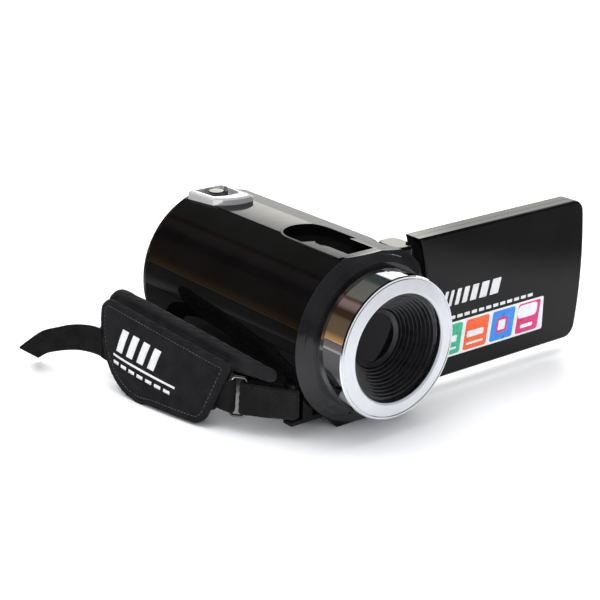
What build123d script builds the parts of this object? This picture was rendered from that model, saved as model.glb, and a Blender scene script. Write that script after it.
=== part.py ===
"""Palm-size camcorder with a fold-out screen and a hand strap.

Frame: millimetres, +Z up, origin in the mouth of the tripod socket on the base.
The lens looks along -Y, the screen opens towards +X and the strap is on the -X side.
"""
from build123d import *
import os
from math import atan2, cos, radians, sin

os.makedirs("parts", exist_ok=True)

# ---- driving dimensions ----
LENS_Z = 31.1  # height of the lens axis
BODY_R = 31.1  # radius of the barrel-shaped body
TOP_Z = 60.4  # flat top
TOP_CREASE_X = 4.5  # right of here the top slopes down a little
TOP_TILT = 10.0
FRONT_Y = -39.0  # front end of the two shells
REAR_JOINT_Y = 47.7  # where the shells meet the rear cover
REAR_Y = 53.5
WALL = 2.0
SPLIT_Z = 31.1  # parting line of the upper and lower shell
LCD_WALL_X = 20.3  # flat side that the closed screen folds against
BASE_LEFT = -12.0
BASE_RIGHT = 18.0
BASE_CHAMFER = 2.5
# direction from the lens axis to where the left edge of the base runs into the barrel
BASE_TANGENT = 2 * atan2(-BODY_R, BASE_LEFT) + radians(90)
FIT = 0.05  # radial clearance of a running fit
GAP = 0.15  # gap between neighbouring pieces of one body
SEAM = 0.2  # visible joint line between the outer covers

RING_FRONT_Y = -55.9
RING_R = 25.0
RING_MOUTH_R = 19.1
BEZEL_FRONT_Y = -42.8
BEZEL_R = 28.5
TOP_CLEARANCE = 60.0  # length of the tool that trims the bezel and the shoe to the top
BEZEL_FLAT_X = 22.6
SEAT_Y = -41.0  # face inside the bezel that carries the ring and the hood

PIN_X = 20.4  # vertical axis that the screen opens about
PIN_Y = -30.4
PIN_R = 1.2
POCKET_R = 8.45
POCKET_BOTTOM = 9.0
BLOCK_LEFT = 14.0
BLOCK_RIGHT = 23.6
BLOCK_FRONT = -37.7
BLOCK_BACK = -25.3
BLOCK_BOTTOM = 9.6
BLOCK_TOP = 58.0
LUG_HEIGHTS = (19.0, 47.0)
LUG_THICK = 1.4
LUG_HALF = 2.5

PANEL_LEFT = 24.0
PANEL_RIGHT = 106.4
PANEL_FRONT = -38.3
PANEL_BACK = -30.7
PANEL_BOTTOM = 5.6
PANEL_TOP = 60.0
PANEL_HOLLOW_END = 28.3  # inner end at mid height, where it curves away from the lens ring
PANEL_BULGE = 2.2  # how far the outer end bows out at mid height
PANEL_CORNER = 5.5
PANEL_INNER_CORNER = 1.2
PANEL_SKIN = 1.3
SWIVEL_Y = (PANEL_FRONT + PANEL_BACK) / 2
SWIVEL_Z = (PANEL_BOTTOM + PANEL_TOP) / 2
SWIVEL_R = 2.0
COLLAR_R = 3.5
SCREEN_W = 66.4  # 3.0 inch screen, 16:9
SCREEN_H = 37.4

LENS_AXIS = Axis((0, 0, LENS_Z), (0, 1, 0))
LENS_PLANE = Plane(origin=(0, 0, LENS_Z), x_dir=(0, 1, 0), z_dir=(1, 0, 0))


def facing_front(y):
    """Plane across the body at y. Extrude by a negative amount to go rearwards."""
    return Plane.XZ.offset(-y)


def facing_side(x):
    """Plane along the body at x. Its local axes are Y and Z."""
    return Plane.YZ.offset(x)


def save(builder, name):
    builder.part.label = name
    export_step(builder.part, f"parts/{name}.step")


def above_top(inset, mode):
    """Region above the flat top and its sloping right strip, in the active sketch."""
    with Locations((0, TOP_Z - inset + 20)):
        Rectangle(80, 40, mode=mode)
    with Locations((TOP_CREASE_X, TOP_Z - inset)):
        Rectangle(80, 40, rotation=-TOP_TILT, align=(Align.CENTER, Align.MIN), mode=mode)


def body_section(inset):
    """Cross-section of the body, drawn in the active sketch."""
    with Locations((0, LENS_Z)):
        Circle(BODY_R - inset)
    Polygon(
        (0, inset),
        (BASE_RIGHT - inset, inset),
        (LCD_WALL_X - inset, BASE_CHAMFER + inset),
        (LCD_WALL_X - inset, LENS_Z),
        (0, LENS_Z),
        ((BODY_R - inset) * cos(BASE_TANGENT), LENS_Z + (BODY_R - inset) * sin(BASE_TANGENT)),
        (BASE_LEFT * (BODY_R - inset) / BODY_R, inset),
        align=None,
    )
    above_top(inset, Mode.SUBTRACT)
    with Locations((LCD_WALL_X - inset + 20, LENS_Z)):
        Rectangle(40, 80, mode=Mode.SUBTRACT)


def turned(points):
    """Solid turned about the lens axis from (y, radius) points, added to the active part."""
    with BuildSketch(LENS_PLANE) as profile:
        Polygon(*points, align=None)
    revolve(profile.sketch, axis=LENS_AXIS)


# ---- shells ----
SHOE_X = -2.2  # middle of the accessory shoe
SHOE_W = 18.6
SHOE_GAP = 12.5
SHOE_FRONT = -38.0
SHOE_ENTRY = -21.0
SHOE_STAGGER = 3.5  # how much further the right flange is cut away
SHOE_BACK = -10.8  # middle of the round rear end
SHOE_FLOOR = TOP_Z - 3.9
SHOE_BASE = SHOE_FLOOR - 1.0
SHOE_RIM = 0.8
FLANGE_Z = TOP_Z - 1.5

SCREWS = ((-21.0, -28.0), (-21.0, 33.0), (15.6, -12.0), (15.6, 38.0))
SCREW_R = 1.1
SCREW_HEAD_R = 2.0
SCREW_SEAT = 10.5
SCREW_TOP = 41.0
BOSS_R = 3.0
BUSH_R = 4.5
BUSH_H = 7.0
THREAD_MINOR_R = 2.56  # 1/4-20 UNC

ZOOM_X = -3.9  # axis of the zoom lever and the shutter button
ZOOM_Y = 41.4
STRAP_BAR_X = -28.6  # bars on the left side that the strap goes round
STRAP_BAR_YS = (-35.2, 40.8)
STRAP_BAR_R = 1.1
STRAP_LOW = 6.6
STRAP_HIGH = 17.4
STRAP_MID = (STRAP_LOW + STRAP_HIGH) / 2
EAR_H = STRAP_HIGH - STRAP_LOW + 4.2  # the two ears and the gap between them

# buttons and socket on the flat side under the screen
WALL_BUTTONS = {
    "power_button": (2.0, 44.0, 3.2),
    "mode_button": (14.0, 44.0, 2.4),
    "play_button": (24.0, 44.0, 2.4),
}
SIDE_RECESS = 0.9
SIDE_MID = (13.0, 44.0)
PORT_MID = (12.0, 24.0)
PORT_W = 26.0
PORT_H = 12.0
PORT_COVER = 1.5
PORT_AXIS_Z = PORT_MID[1] - PORT_H / 2 + 1.2
PORT_AXIS_X = LCD_WALL_X - 1.0
PORT_PIN_R = 0.5
USB_MID = (6.0, 26.2)
USB_W = 7.7
USB_H = 3.9
AV_MID = (17.5, 26.2)
AV_R = 2.9
CARD_Z = 21.0
CARD_W = 24.0
CARD_T = 2.1
CARD_L = 32.0

with BuildPart() as cavity:
    with BuildSketch(facing_front(FRONT_Y + WALL)):
        body_section(WALL)
    extrude(amount=-(REAR_JOINT_Y - FRONT_Y))
    with Locations((PIN_X, PIN_Y, LENS_Z)):
        Cylinder(POCKET_R + 1.4, 70, mode=Mode.SUBTRACT)
    with Locations((SHOE_X, -18, SHOE_BASE)):
        Box(SHOE_W + 5, 42, 3, mode=Mode.SUBTRACT)
    with Locations((ZOOM_X, ZOOM_Y, TOP_Z - WALL)):
        Cylinder(4.1, 3, mode=Mode.SUBTRACT)
    with Locations((LCD_WALL_X - WALL - 1, PORT_MID[0], PORT_MID[1])):
        Box(2, PORT_W + 6, PORT_H + 4, mode=Mode.SUBTRACT)
    for y in STRAP_BAR_YS:
        with Locations((-29, y, 13)):
            Box(10, 9, 19, mode=Mode.SUBTRACT)
    for x, y in SCREWS:
        with Locations((x, y, LENS_Z)):
            Cylinder(BOSS_R, 2 * BODY_R, mode=Mode.SUBTRACT)
    with Locations((0, 0, 4)):
        Cylinder(6.2, 8, mode=Mode.SUBTRACT)

with BuildPart() as whole_shell:
    with BuildSketch(facing_front(FRONT_Y)):
        body_section(0)
    extrude(amount=-(REAR_JOINT_Y - FRONT_Y))
    add(cavity.part, mode=Mode.SUBTRACT)
    # opening for the lens barrel
    with Locations(Location((0, FRONT_Y + WALL / 2, LENS_Z), (90, 0, 0))):
        Cylinder(9.0, 3 * WALL, mode=Mode.SUBTRACT)
    # round pocket that the hinge block turns in
    with Locations((PIN_X, PIN_Y, POCKET_BOTTOM + 35)):
        Cylinder(POCKET_R, 70, mode=Mode.SUBTRACT)
    for z in LUG_HEIGHTS:
        with Locations((12, PIN_Y, z)):
            Box(12, 2 * LUG_HALF + 0.4, LUG_THICK + 0.4, mode=Mode.SUBTRACT)
    for x, y in SCREWS:
        with Locations((x, y, SCREW_TOP / 2)):
            Cylinder(SCREW_R + GAP, SCREW_TOP + 2, mode=Mode.SUBTRACT)
        with Locations((x, y, SCREW_SEAT / 2)):
            Cylinder(SCREW_HEAD_R + GAP, SCREW_SEAT, mode=Mode.SUBTRACT)
    # seat of the tripod bush
    with Locations((0, 0, 3.5)):
        Cylinder(BUSH_R, 7, mode=Mode.SUBTRACT)
    # ears and recess for each strap bar
    for y in STRAP_BAR_YS:
        with Locations((-26, y, STRAP_MID)):
            Box(9, 4.4, EAR_H)
        with Locations((-23.8, y, STRAP_MID - EAR_H / 2 + 0.9)):
            Box(13.4, 4.4, 1.8)
        with Locations((-30.7, y, STRAP_MID)):
            Box(10, 6.8, STRAP_HIGH - STRAP_LOW + 1.2, mode=Mode.SUBTRACT)
        with Locations((STRAP_BAR_X, y, STRAP_MID)):
            Cylinder(STRAP_BAR_R + 0.02, EAR_H - 1.6, mode=Mode.SUBTRACT)


def shoe_outline(margin):
    """Plan of the shoe: a rectangle with a round rear end."""
    half = SHOE_W / 2 + SHOE_RIM + margin
    with Locations((SHOE_X, (SHOE_FRONT + SHOE_BACK - margin) / 2)):
        Rectangle(2 * half, SHOE_BACK - SHOE_FRONT + margin)
    with Locations((SHOE_X, SHOE_BACK)):
        Circle(half)


with BuildPart() as upper_shell:
    add(whole_shell.part)
    split(bisect_by=Plane.XY.offset(SPLIT_Z + SEAM / 2), keep=Keep.TOP)
    # well of the accessory shoe
    with BuildSketch(Plane.XY.offset(SHOE_BASE)):
        shoe_outline(0.1)
    extrude(amount=10, mode=Mode.SUBTRACT)
    # recess that carries the side buttons
    with BuildSketch(facing_side(LCD_WALL_X)):
        with Locations(SIDE_MID):
            RectangleRounded(34, 10, 3)
    extrude(amount=-SIDE_RECESS, mode=Mode.SUBTRACT)
    for y, z, r in WALL_BUTTONS.values():
        with Locations(Location((LCD_WALL_X - WALL, y, z), (0, 90, 0))):
            Cylinder(r + 0.2, 3 * WALL, mode=Mode.SUBTRACT)
    # bore under the zoom lever and the shutter button
    with Locations((ZOOM_X, ZOOM_Y, TOP_Z - WALL)):
        Cylinder(3.0, 12, mode=Mode.SUBTRACT)
save(upper_shell, "upper_shell")

with BuildPart() as lower_shell:
    add(whole_shell.part)
    split(bisect_by=Plane.XY.offset(SPLIT_Z - SEAM / 2), keep=Keep.BOTTOM)
    # recess of the port cover, with the two socket holes and the card slot
    with BuildSketch(facing_side(LCD_WALL_X)):
        with Locations(PORT_MID):
            Rectangle(PORT_W + 0.6, PORT_H + 0.6)
    extrude(amount=-PORT_COVER - 0.5, mode=Mode.SUBTRACT)
    with Locations((LCD_WALL_X - WALL, USB_MID[0], USB_MID[1])):
        Box(3 * WALL, USB_W + 0.3, USB_H + 0.3, mode=Mode.SUBTRACT)
    with Locations(Location((LCD_WALL_X - WALL, AV_MID[0], AV_MID[1]), (0, 90, 0))):
        Cylinder(AV_R + 0.15, 3 * WALL, mode=Mode.SUBTRACT)
    with Locations((LCD_WALL_X - WALL, PORT_MID[0], CARD_Z)):
        Box(3 * WALL, CARD_W + 0.6, CARD_T + 0.6, mode=Mode.SUBTRACT)
    # bores of the port cover's pin
    with Locations(Location((PORT_AXIS_X, PORT_MID[0], PORT_AXIS_Z), (90, 0, 0))):
        Cylinder(PORT_PIN_R + 0.02, PORT_W + 4, mode=Mode.SUBTRACT)
save(lower_shell, "lower_shell")

# ---- rear cover ----
DOOR_LEFT = -17.0
DOOR_RIGHT = 13.0
DOOR_BOTTOM = 7.6
DOOR_TOP = 17.6
DOOR_THICK = 1.6
DOOR_AXIS_Y = REAR_Y - 1.5
DOOR_AXIS_Z = DOOR_BOTTOM + 1.5
DOOR_PIN_R = 0.7
RECORD_X = -3.0
RECORD_Z = 42.0
RECORD_R = 6.0
LED_X = 9.5
LED_Z = 50.0
LED_R = 1.2
SPEAKER_X = -14.0
SPEAKER_Z = 27.0
REAR_ROUND = 5.5
REAR_STEPS = (0, 22, 45, 67, 90)

with BuildPart() as rear_cover:
    with BuildSketch(facing_front(REAR_JOINT_Y + SEAM)):
        body_section(0)
    extrude(amount=-(REAR_Y - REAR_ROUND - REAR_JOINT_Y - SEAM))
    # rounded rear edge, as a ruled loft through sections a few degrees apart
    for angle in REAR_STEPS:
        with BuildSketch(facing_front(REAR_Y - REAR_ROUND + REAR_ROUND * sin(radians(angle)))):
            body_section(REAR_ROUND * (1 - cos(radians(angle))))
    loft(ruled=True)
    # locating lip inside the shells
    with BuildSketch(facing_front(REAR_JOINT_Y - 2)):
        body_section(WALL + GAP)
    extrude(amount=-3)
    with BuildSketch(facing_front(REAR_JOINT_Y - 2)):
        body_section(WALL + GAP + 1.2)
    extrude(amount=-(REAR_Y - WALL - REAR_JOINT_Y + 2), mode=Mode.SUBTRACT)
    with Locations(((DOOR_LEFT + DOOR_RIGHT) / 2, REAR_Y, (DOOR_BOTTOM + DOOR_TOP) / 2)):
        Box(DOOR_RIGHT - DOOR_LEFT + 0.6, 20, DOOR_TOP - DOOR_BOTTOM + 0.6, mode=Mode.SUBTRACT)
    # solid cheeks that hold the door's pin
    for x in (DOOR_LEFT - 1.8, DOOR_RIGHT + 1.8):
        with Locations((x, REAR_Y - 2.2, DOOR_AXIS_Z + 1)):
            Box(3, 3.4, 5)
    with Locations(Location(((DOOR_LEFT + DOOR_RIGHT) / 2, DOOR_AXIS_Y, DOOR_AXIS_Z), (0, 90, 0))):
        Cylinder(DOOR_PIN_R + 0.02, DOOR_RIGHT - DOOR_LEFT + 5, mode=Mode.SUBTRACT)
    for x, z, r in ((RECORD_X, RECORD_Z, RECORD_R + 0.3), (LED_X, LED_Z, LED_R + 0.02)):
        with Locations(Location((x, REAR_Y, z), (90, 0, 0))):
            Cylinder(r, 12, mode=Mode.SUBTRACT)
    # sound holes
    with Locations(Location((SPEAKER_X, REAR_Y, SPEAKER_Z), (90, 0, 0))):
        with PolarLocations(3.2, 6):
            Cylinder(0.6, 12, mode=Mode.SUBTRACT)
        Cylinder(0.6, 12, mode=Mode.SUBTRACT)
save(rear_cover, "rear_cover")

# ---- lens group ----
RIB_COUNT = 8
RIB_FRONT_R = 17.6
RIB_BACK_R = 10.8
RIB_FRONT_Y = -52.8
RIB_BACK_Y = -43.8
BARREL_R = 8.0
BARREL_BORE_R = 6.6
BARREL_BACK_Y = -14.0
RIB_STEP_R = (RIB_FRONT_R - RIB_BACK_R) / RIB_COUNT
RIB_STEP_Y = (RIB_BACK_Y - RIB_FRONT_Y) / RIB_COUNT

with BuildPart() as top_clearance:
    with BuildSketch(facing_front(RING_FRONT_Y)):
        above_top(0, Mode.ADD)
    extrude(amount=-TOP_CLEARANCE)

with BuildPart() as front_bezel:
    turned(
        [
            (FRONT_Y - 0.1, 10.0),
            (FRONT_Y - 0.1, 31.0),
            (-39.4, 31.0),
            (-40.9, BEZEL_R + 0.2),
            (-41.2, BEZEL_R),
            (-42.5, BEZEL_R - 1.9),
            (BEZEL_FRONT_Y, BEZEL_R - 2.2),
            (BEZEL_FRONT_Y, RING_R + FIT),
            (SEAT_Y, RING_R + FIT),
            (SEAT_Y, 10.0),
        ]
    )
    with Locations((BEZEL_FLAT_X + 10, -42, LENS_Z)):
        Box(20, 12, 70, mode=Mode.SUBTRACT)
    add(top_clearance.part, mode=Mode.SUBTRACT)
    # microphone hole
    with Locations(Location((-9.0, -41, 5.6), (90, 0, 0))):
        Cylinder(0.5, 14, mode=Mode.SUBTRACT)
save(front_bezel, "front_bezel")

with BuildPart() as chrome_ring:
    turned(
        [
            (SEAT_Y - FIT, 22.7),
            (SEAT_Y - FIT, RING_R),
            (-54.6, RING_R),
            (-55.2, 24.6),
            (-55.2, 24.2),
            (-54.9, 24.0),
            (-55.2, 23.7),
            (RING_FRONT_Y, 19.9),
            (RING_FRONT_Y, 19.6),
            (-55.4, RING_MOUTH_R),
            (-53.4, 18.7),
            (-51.0, 18.7),
            (-51.0, 22.7),
        ]
    )
save(chrome_ring, "chrome_ring")

hood_points = [(SEAT_Y - FIT, 12.0), (SEAT_Y - FIT, 22.6), (-50.9, 22.6), (-50.9, 18.6), (-53.2, 18.6)]
hood_points += [(-53.2, RIB_FRONT_R)]
for i in range(RIB_COUNT):
    y = RIB_FRONT_Y + i * RIB_STEP_Y
    r = RIB_FRONT_R - i * RIB_STEP_R
    hood_points += [(y + 0.75 * RIB_STEP_Y, r), (y + 0.75 * RIB_STEP_Y, r - 0.6 * RIB_STEP_R)]
    hood_points += [(y + 0.4 * RIB_STEP_Y, r - 0.6 * RIB_STEP_R), (y + 0.4 * RIB_STEP_Y, r - RIB_STEP_R)]
hood_points += [(RIB_BACK_Y + 0.3, RIB_BACK_R), (RIB_BACK_Y + 0.3, 12.0)]

with BuildPart() as lens_hood:
    turned(hood_points)
save(lens_hood, "lens_hood")

with BuildPart() as lens_bezel:
    turned(
        [
            (SEAT_Y - FIT, 7.2),
            (SEAT_Y - FIT, 10.6),
            (-43.6, 10.6),
            (-43.9, 10.2),
            (-43.2, 8.6),
            (-42.2, 8.6),
            (-42.2, 7.2),
        ]
    )
save(lens_bezel, "lens_bezel")

with BuildPart() as lens_window:
    turned([(-42.25, 0), (-42.25, 8.5), (-43.0, 8.5), (-43.0, 0)])
save(lens_window, "lens_window")

with BuildPart() as lens_barrel:
    turned(
        [
            (SEAT_Y + FIT, BARREL_BORE_R),
            (SEAT_Y + FIT, 9.9),
            (FRONT_Y - 0.15, 9.9),
            (FRONT_Y - 0.15, 8.9),
            (FRONT_Y + WALL, 8.9),
            (FRONT_Y + WALL, BARREL_R),
            (BARREL_BACK_Y, BARREL_R),
            (BARREL_BACK_Y, BARREL_BORE_R),
        ]
    )
save(lens_barrel, "lens_barrel")

# lens elements: (middle, edge radius, thickness, radius of curvature)
ELEMENTS = ((-39.0, 6.4, 3.4, 16.0), (-31.0, 6.0, 2.2, 30.0), (-23.0, 6.2, 3.0, 18.0))

with BuildPart() as lens_elements:
    for y, r, thick, curve in ELEMENTS:
        with BuildSketch(LENS_PLANE):
            with Locations((y + curve - thick / 2, 0)):
                Circle(curve)
            with Locations((y - curve + thick / 2, 0)):
                Circle(curve, mode=Mode.INTERSECT)
            with Locations((y, r / 2)):
                Rectangle(2 * thick, r, mode=Mode.INTERSECT)
        revolve(axis=LENS_AXIS)
save(lens_elements, "lens_elements")

with BuildPart() as image_sensor:
    with Locations((0, BARREL_BACK_Y - 0.6, LENS_Z)):
        Box(7.0, 1.0, 5.4)
save(image_sensor, "image_sensor")

with BuildPart() as sensor_board:
    with Locations((-1.5, BARREL_BACK_Y + 0.65, LENS_Z)):
        Box(20, 1.0, 20)
save(sensor_board, "sensor_board")

# ---- screen hinge ----
BLOCK_CORNER = 4.0
BLOCK_TOP_ROUND = 1.0
BRACKET_X = 8.6
BRACKET_T = 1.2

with BuildPart() as hinge_block:
    with BuildSketch(Plane.XY.offset(BLOCK_BOTTOM)):
        with Locations(((BLOCK_LEFT + BLOCK_RIGHT) / 2, (BLOCK_FRONT + BLOCK_BACK) / 2)):
            RectangleRounded(BLOCK_RIGHT - BLOCK_LEFT, BLOCK_BACK - BLOCK_FRONT, BLOCK_CORNER)
    extrude(amount=BLOCK_TOP - BLOCK_BOTTOM)
    fillet(hinge_block.faces().sort_by(Axis.Z)[-1].edges(), radius=BLOCK_TOP_ROUND)
    with Locations((PIN_X, PIN_Y, (BLOCK_BOTTOM + BLOCK_TOP - 4) / 2)):
        Cylinder(PIN_R + FIT, BLOCK_TOP - BLOCK_BOTTOM - 4, mode=Mode.SUBTRACT)
    # slots that let the block turn past the two lugs of the bracket
    for z in LUG_HEIGHTS:
        with Locations((PIN_X - 10 + LUG_HALF + 0.4, PIN_Y + 10 - LUG_HALF - 0.4, z)):
            Box(20, 20, LUG_THICK + 0.8, mode=Mode.SUBTRACT)
    with Locations(Location((BLOCK_RIGHT, SWIVEL_Y, SWIVEL_Z), (0, 90, 0))):
        Cylinder(SWIVEL_R + FIT, 16.8, mode=Mode.SUBTRACT)
save(hinge_block, "hinge_block")

with BuildPart() as hinge_bracket:
    with Locations((BRACKET_X + BRACKET_T / 2, PIN_Y, (LUG_HEIGHTS[0] + LUG_HEIGHTS[1]) / 2)):
        Box(BRACKET_T, 2 * LUG_HALF, LUG_HEIGHTS[1] - LUG_HEIGHTS[0] + 8)
    for z in LUG_HEIGHTS:
        with Locations(((BRACKET_X + PIN_X) / 2, PIN_Y, z)):
            Box(PIN_X - BRACKET_X, 2 * LUG_HALF, LUG_THICK)
        with Locations((PIN_X, PIN_Y, z)):
            Cylinder(LUG_HALF, LUG_THICK)
            Cylinder(PIN_R + 0.02, 2 * LUG_THICK, mode=Mode.SUBTRACT)
save(hinge_bracket, "hinge_bracket")

with BuildPart() as hinge_pin:
    with Locations((PIN_X, PIN_Y, (LUG_HEIGHTS[0] + LUG_HEIGHTS[1]) / 2)):
        Cylinder(PIN_R, LUG_HEIGHTS[1] - LUG_HEIGHTS[0] + 10)
save(hinge_pin, "hinge_pin")

# ---- screen panel ----
SHAFT_END = 33.8
PANEL_MID_Y = SWIVEL_Y
SCREEN_X = 67.5  # middle of the screen
SCREEN_Z = SWIVEL_Z
POST_XS = (33.0, 99.5)
POST_ZS = (SWIVEL_Z - 21.5, SWIVEL_Z + 21.5)
BODY_GAP = 0.3


def panel_outline(y, inset):
    """Outline of the screen panel at y: both ends curve the same way, round corners."""
    half = (PANEL_TOP - PANEL_BOTTOM) / 2
    bow = PANEL_HOLLOW_END - PANEL_LEFT
    inner_r = (half**2 + bow**2) / (2 * bow)
    outer_r = (half**2 + PANEL_BULGE**2) / (2 * PANEL_BULGE)
    end = PANEL_RIGHT + PANEL_BULGE
    with BuildSketch(facing_front(y)) as outline:
        with Locations(((PANEL_LEFT + end) / 2, SWIVEL_Z)):
            Rectangle(end - PANEL_LEFT + 10, 2 * (half - inset))
        with Locations((end - outer_r, SWIVEL_Z)):
            Circle(outer_r - inset, mode=Mode.INTERSECT)
        with Locations((PANEL_HOLLOW_END - inner_r, SWIVEL_Z)):
            Circle(inner_r + inset, mode=Mode.SUBTRACT)
        corners = outline.vertices().sort_by(Axis.X)
        fillet(corners[2:], radius=PANEL_CORNER - inset)
        fillet(corners[:2], radius=max(PANEL_INNER_CORNER - inset, 0.2))
    return outline.sketch


with BuildPart() as panel_cover:
    extrude(panel_outline(PANEL_FRONT + 0.8, 0), amount=-(PANEL_MID_Y - SEAM / 2 - PANEL_FRONT - 0.8))
    # softened outer edge
    edge_steps = ((0.8, PANEL_FRONT), (0.25, PANEL_FRONT + 0.25), (0.0, PANEL_FRONT + 0.8))
    loft([panel_outline(y, inset) for inset, y in edge_steps], ruled=True)
    extrude(panel_outline(PANEL_FRONT + PANEL_SKIN, PANEL_SKIN), amount=-6, mode=Mode.SUBTRACT)
    for x in POST_XS:
        for z in POST_ZS:
            with Locations(Location((x, (PANEL_FRONT + PANEL_MID_Y) / 2, z), (90, 0, 0))):
                Cylinder(1.9, PANEL_MID_Y - PANEL_FRONT - 0.4)
            with Locations(Location((x, PANEL_MID_Y, z), (90, 0, 0))):
                Cylinder(0.92, 5, mode=Mode.SUBTRACT)
    with Locations(Location((PANEL_LEFT + 5.5, SWIVEL_Y, SWIVEL_Z), (0, 90, 0))):
        Cylinder(COLLAR_R + FIT, 12, mode=Mode.SUBTRACT)
save(panel_cover, "panel_cover")

with BuildPart() as panel_frame:
    extrude(panel_outline(PANEL_MID_Y + SEAM / 2, 0), amount=-(PANEL_BACK - PANEL_MID_Y - SEAM / 2))
    cavity_depth = PANEL_BACK - PANEL_MID_Y - PANEL_SKIN
    extrude(panel_outline(PANEL_MID_Y, PANEL_SKIN), amount=-cavity_depth, mode=Mode.SUBTRACT)
    with Locations((SCREEN_X, PANEL_BACK, SCREEN_Z)):
        Box(SCREEN_W + 0.4, 6, SCREEN_H + 0.4, mode=Mode.SUBTRACT)
    # screw posts that stand on the posts of the cover
    for x in POST_XS:
        for z in POST_ZS:
            with Locations(Location((x, (PANEL_BACK + PANEL_MID_Y) / 2 - 0.2, z), (90, 0, 0))):
                Cylinder(1.9, PANEL_BACK - PANEL_MID_Y - 0.6)
            with Locations(Location((x, PANEL_BACK, z), (90, 0, 0))):
                Cylinder(1.05, 12, mode=Mode.SUBTRACT)
                Cylinder(1.75, 2.4, mode=Mode.SUBTRACT)
    with Locations(Location((PANEL_LEFT + 5.5, SWIVEL_Y, SWIVEL_Z), (0, 90, 0))):
        Cylinder(COLLAR_R + FIT, 12, mode=Mode.SUBTRACT)
save(panel_frame, "panel_frame")

with BuildPart() as panel_screws:
    for x in POST_XS:
        for z in POST_ZS:
            with Locations(Location((x, PANEL_BACK - 0.7, z), (90, 0, 0))):
                Cylinder(1.6, 0.9)
            with Locations(Location((x, PANEL_BACK - 2.6, z), (90, 0, 0))):
                Cylinder(0.9, 3.4)
save(panel_screws, "panel_screws")

with BuildPart() as lcd_screen:
    with Locations((SCREEN_X, PANEL_BACK - 1.1, SCREEN_Z)):
        Box(SCREEN_W, 1.8, SCREEN_H)
save(lcd_screen, "lcd_screen")

with BuildPart() as panel_board:
    with Locations((SCREEN_X, PANEL_BACK - 3.0, SCREEN_Z)):
        Box(SCREEN_W - 6, 1.0, SCREEN_H - 4)
save(panel_board, "panel_board")

with BuildPart() as swivel_shaft:
    with Locations(Location(((15.6 + PANEL_LEFT) / 2, SWIVEL_Y, SWIVEL_Z), (0, 90, 0))):
        Cylinder(SWIVEL_R, PANEL_LEFT - 15.6)
    with Locations(Location(((BLOCK_RIGHT + BODY_GAP + SHAFT_END) / 2, SWIVEL_Y, SWIVEL_Z), (0, 90, 0))):
        Cylinder(COLLAR_R, SHAFT_END - BLOCK_RIGHT - BODY_GAP)
save(swivel_shaft, "swivel_shaft")

# printed label and trim stripes on the outer face of the panel
with BuildPart() as panel_label:
    with BuildSketch(facing_front(PANEL_FRONT - 0.12)):
        with Locations((59.6, 19.3)):
            RectangleRounded(57.4, 13.0, 0.8)
    extrude(amount=-0.12)
save(panel_label, "panel_label")

# ---- top: accessory shoe, zoom lever and shutter button ----
with BuildPart() as accessory_shoe:
    with BuildSketch(Plane.XY.offset(SHOE_BASE)):
        shoe_outline(0)
    extrude(amount=TOP_Z - SHOE_BASE)
    # channel for the foot, open to the rear where the foot drops in
    with BuildSketch(Plane.XY.offset(SHOE_FLOOR)):
        with Locations((SHOE_X, (SHOE_FRONT + 1.2 + SHOE_BACK) / 2)):
            Rectangle(SHOE_W, SHOE_BACK - SHOE_FRONT - 1.2)
        with Locations((SHOE_X, SHOE_BACK)):
            Circle(SHOE_W / 2)
    extrude(amount=FLANGE_Z - SHOE_FLOOR, mode=Mode.SUBTRACT)
    with BuildSketch(Plane.XY.offset(FLANGE_Z)):
        with Locations((SHOE_X, (SHOE_FRONT + 1.2 + SHOE_BACK) / 2)):
            Rectangle(SHOE_GAP, SHOE_BACK - SHOE_FRONT - 1.2)
        with Locations((SHOE_X, (SHOE_ENTRY + SHOE_BACK) / 2)):
            Rectangle(SHOE_W, SHOE_BACK - SHOE_ENTRY)
        with Locations((SHOE_X + SHOE_W / 4, SHOE_ENTRY)):
            Rectangle(SHOE_W / 2, 2 * SHOE_STAGGER)
        with Locations((SHOE_X, SHOE_BACK)):
            Circle(SHOE_W / 2)
    extrude(amount=5, mode=Mode.SUBTRACT)
    # pressed stop at the rear end of the left flange
    with BuildSketch(Plane.XY.offset(FLANGE_Z)):
        Polygon(
            (SHOE_X - SHOE_W / 2, SHOE_ENTRY),
            (SHOE_X - SHOE_W / 2, SHOE_ENTRY + 3.4),
            (SHOE_X - SHOE_GAP / 2 + 1.2, SHOE_ENTRY + 1.2),
            (SHOE_X - SHOE_GAP / 2, SHOE_ENTRY),
            align=None,
        )
    extrude(amount=TOP_Z - FLANGE_Z)
    add(top_clearance.part, mode=Mode.SUBTRACT)
save(accessory_shoe, "accessory_shoe")

ZOOM_TOP = 63.0
ZOOM_BASE = 57.8
PAN_Z = 60.9
LEVER_R = 4.2
LEVER_THICK = 1.4
BUTTON_R = 2.9
BUTTON_THICK = 0.6
FIN_TURN = 57.0  # the fin's direction, from +X towards +Y
FIN_OFFSET = 3.6
FIN_LENGTH = 6.4
WEDGE_X = 2.2  # where the low wedge at the front right begins
WEDGE_TILT = radians(20.0)
WEDGE_ALONG = (cos(WEDGE_TILT), 0, -sin(WEDGE_TILT))
WEDGE_UP = (sin(WEDGE_TILT), 0, cos(WEDGE_TILT))

with BuildPart() as body_block:
    with BuildSketch(facing_front(FRONT_Y)):
        body_section(0)
    extrude(amount=-(REAR_Y - FRONT_Y))

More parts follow.
